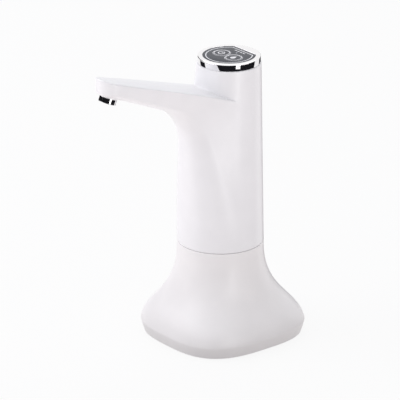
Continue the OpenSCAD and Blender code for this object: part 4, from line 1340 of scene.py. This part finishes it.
@dataclass
class Studio:
    """White studio around the part: camera, world, floor, cards and lamps.

    Lengths are metres, apart from those of the floor's block, which are millimetres as in other meshes.
    """

    azimuth_deg: float = 51.02
    elevation_deg: float = 21.41
    distance: float = 3.14
    lens: float = 341.73
    sensor_w: float = 36.0
    clip: tuple[float, float] = (0.1, 50.0)
    target_z: float = 0.12
    aim_right: float = -0.01685
    aim_up: float = -0.00326
    fill: float = 0.64
    fill_colour: tuple[float, float, float, float] = (0.96, 0.97, 1.0, 1.0)
    bounce_level: tuple[float, float] = (0.47, 1.2)
    bounce_reach: tuple[float, float] = (0.08, 0.2)
    floor_glow: float = 0.88
    floor_colour: tuple[float, float, float, float] = (0.8, 0.8, 0.8, 1.0)
    floor_half: float = 4000.0
    floor_levels: tuple[float, float] = (-20.0, -0.05)

    @property
    def target(self) -> Vector:
        """Gives the point that camera and lamps are placed about."""
        return Vector((0.0, 0.0, self.target_z))

    def direction(self, turn_deg: float, elevation_deg: float) -> Vector:
        """Gives a direction seen from the part.

        Args:
            turn_deg: angle to the right of the camera.
            elevation_deg: angle over the floor.

        Returns:
            A unit vector.
        """
        turn = math.radians(self.azimuth_deg + turn_deg)
        rise = math.radians(elevation_deg)
        return Vector((math.sin(turn) * math.cos(rise), -math.cos(turn) * math.cos(rise), math.sin(rise)))

    def camera(self) -> None:
        """Places the camera of the main view."""
        back = self.direction(0.0, self.elevation_deg)
        right = self.direction(90.0, 0.0)
        up = back.cross(right)
        data = bpy.data.cameras.new("main_camera")
        data.lens = self.lens
        data.sensor_width = self.sensor_w
        data.clip_start, data.clip_end = self.clip
        camera = bpy.data.objects.new("main_camera", data)
        camera.location = self.target + back * self.distance
        aim = self.target + right * self.aim_right + up * self.aim_up
        camera.rotation_euler = (aim - camera.location).to_track_quat("-Z", "Y").to_euler()
        bpy.context.scene.collection.objects.link(camera)
        bpy.context.scene.camera = camera

    def hang(self, lamp: Lamp) -> None:
        """Adds one lamp.

        Args:
            lamp: its place, size and light.
        """
        data = bpy.data.lights.new(lamp.name, "AREA")
        data.shape = "RECTANGLE"
        data.size, data.size_y = lamp.size
        data.energy = lamp.watts
        data.color = lamp.tint.value
        obj = bpy.data.objects.new(lamp.name, data)
        obj.location = self.target + self.direction(lamp.turn_deg, lamp.rise_deg) * lamp.distance
        obj.rotation_euler = (self.target - obj.location).to_track_quat("-Z", "Y").to_euler()
        obj.visible_camera = False
        obj.visible_glossy = lamp.glossy
        bpy.context.scene.collection.objects.link(obj)

    def world(self) -> None:
        """Sets a white world for what the camera and mirrors see, and a dimmer one as fill light."""
        world = bpy.data.worlds.new("studio")
        bpy.context.scene.world = world
        world.use_nodes = True
        nodes = world.node_tree.nodes
        links = world.node_tree.links
        nodes.clear()
        seen = self.seen_socket(nodes, links)
        fill = nodes.new("ShaderNodeBackground")
        fill.inputs["Color"].default_value = self.fill_colour
        fill.inputs["Strength"].default_value = self.fill
        white = nodes.new("ShaderNodeBackground")
        white.inputs["Color"].default_value = WHITE
        white.inputs["Strength"].default_value = 1.0
        mix = nodes.new("ShaderNodeMixShader")
        out = nodes.new("ShaderNodeOutputWorld")
        links.new(seen, mix.inputs["Fac"])
        links.new(fill.outputs["Background"], mix.inputs[1])
        links.new(white.outputs["Background"], mix.inputs[2])
        links.new(mix.outputs["Shader"], out.inputs["Surface"])

    @staticmethod
    def seen_socket(nodes: bpy.types.Nodes, links: bpy.types.NodeLinks) -> bpy.types.NodeSocket:
        """Adds nodes that are 1 for camera, glossy and transmission rays.

        Args:
            nodes: node list.
            links: link list.

        Returns:
            The socket.
        """
        path = nodes.new("ShaderNodeLightPath")
        seen = path.outputs["Is Camera Ray"]
        for ray in ("Is Glossy Ray", "Is Transmission Ray"):
            either = nodes.new("ShaderNodeMath")
            either.operation = "MAXIMUM"
            links.new(seen, either.inputs[0])
            links.new(path.outputs[ray], either.inputs[1])
            seen = either.outputs["Value"]
        return seen

    def floor(self) -> None:
        """Adds a white floor that keeps a faint shadow and throws light back from some way off."""
        sketch = MeshSketch()
        corners = np.array([(-1, -1), (1, -1), (1, 1), (-1, 1)])
        sketch.prism(corners * self.floor_half, *self.floor_levels)
        floor = sketch.build("floor")
        material = bpy.data.materials.new("floor_white")
        material.use_nodes = True
        nodes = material.node_tree.nodes
        links = material.node_tree.links
        nodes.clear()
        seen = self.seen_socket(nodes, links)
        matt = nodes.new("ShaderNodeBsdfDiffuse")
        matt.inputs["Color"].default_value = self.floor_colour
        place = nodes.new("ShaderNodeNewGeometry")
        distance = nodes.new("ShaderNodeVectorMath")
        distance.operation = "LENGTH"
        links.new(place.outputs["Position"], distance.inputs[0])
        reach = nodes.new("ShaderNodeMapRange")
        limits = ("From Min", "From Max", "To Min", "To Max")
        for limit, value in zip(limits, (*self.bounce_reach, *self.bounce_level)):
            reach.inputs[limit].default_value = value
        links.new(distance.outputs["Value"], reach.inputs["Value"])
        bounce = nodes.new("ShaderNodeEmission")
        bounce.inputs["Color"].default_value = (*LampTint.ROSE.value, 1.0)
        links.new(reach.outputs["Result"], bounce.inputs["Strength"])
        glow = nodes.new("ShaderNodeEmission")
        glow.inputs["Color"].default_value = WHITE
        share = nodes.new("ShaderNodeMixShader")
        share.inputs["Fac"].default_value = self.floor_glow
        links.new(matt.outputs["BSDF"], share.inputs[1])
        links.new(glow.outputs["Emission"], share.inputs[2])
        mix = nodes.new("ShaderNodeMixShader")
        links.new(seen, mix.inputs["Fac"])
        links.new(bounce.outputs["Emission"], mix.inputs[1])
        links.new(share.outputs["Shader"], mix.inputs[2])
        out = nodes.new("ShaderNodeOutputMaterial")
        links.new(mix.outputs["Shader"], out.inputs["Surface"])
        floor.data.materials.append(material)

    def stand(self, card: Card) -> None:
        """Adds one card.

        Args:
            card: its place, size and brightness.
        """
        ways = np.array([self.direction(turn, 0.0) for turn in np.linspace(*card.turns, card.steps)]) / MM
        near, far = card.reach
        outside = far + card.thickness
        over = np.array([0.0, 0.0, card.lift / MM])
        top = np.array([0.0, 0.0, card.height / MM])
        rows = [ways * near + over, ways * far + over, ways * far + top, ways * outside + top, ways * outside]
        sketch = MeshSketch()
        sketch.sheet(np.stack([*rows, ways * near]), looped=True)
        obj = sketch.build(card.name)
        material = bpy.data.materials.new(card.name)
        material.use_nodes = True
        shader = material.node_tree.nodes["Principled BSDF"]
        shader.inputs["Base Color"].default_value = card.colour
        shader.inputs["Roughness"].default_value = 1.0
        shader.inputs["Specular IOR Level"].default_value = 0.0
        shader.inputs["Emission Color"].default_value = WHITE
        shader.inputs["Emission Strength"].default_value = card.glow
        obj.data.materials.append(material)
        obj.visible_camera = False
        obj.visible_diffuse = False
        obj.visible_transmission = False
        obj.visible_shadow = False

    def build(self) -> None:
        """Sets up the whole studio."""
        self.camera()
        self.world()
        self.floor()
        for card in CARDS:
            self.stand(card)
        for lamp in LAMPS:
            self.hang(lamp)


def main() -> None:
    """Loads the frame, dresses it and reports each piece."""
    logging.basicConfig(level=logging.INFO, format="%(name)s: %(message)s")
    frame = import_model()
    palette = Palette()
    for part in frame["record"]["subparts"]:
        palette.dress(frame["nodes"][part["node"]], part["material_slot"])
        LOG.info("%s from the frame, %s", part["node"], part["material_slot"])
    for kind in (PumpShell, TableBase, Outlet, Head):
        assembly = kind(palette)
        assembly.build()
        for piece in assembly.pieces:
            LOG.info("%s, %s, %d faces", piece.name, piece.active_material.name, len(piece.data.polygons))
    Studio().build()
    bpy.context.scene.view_settings.view_transform = "Standard"


if __name__ == "__main__":
    main()
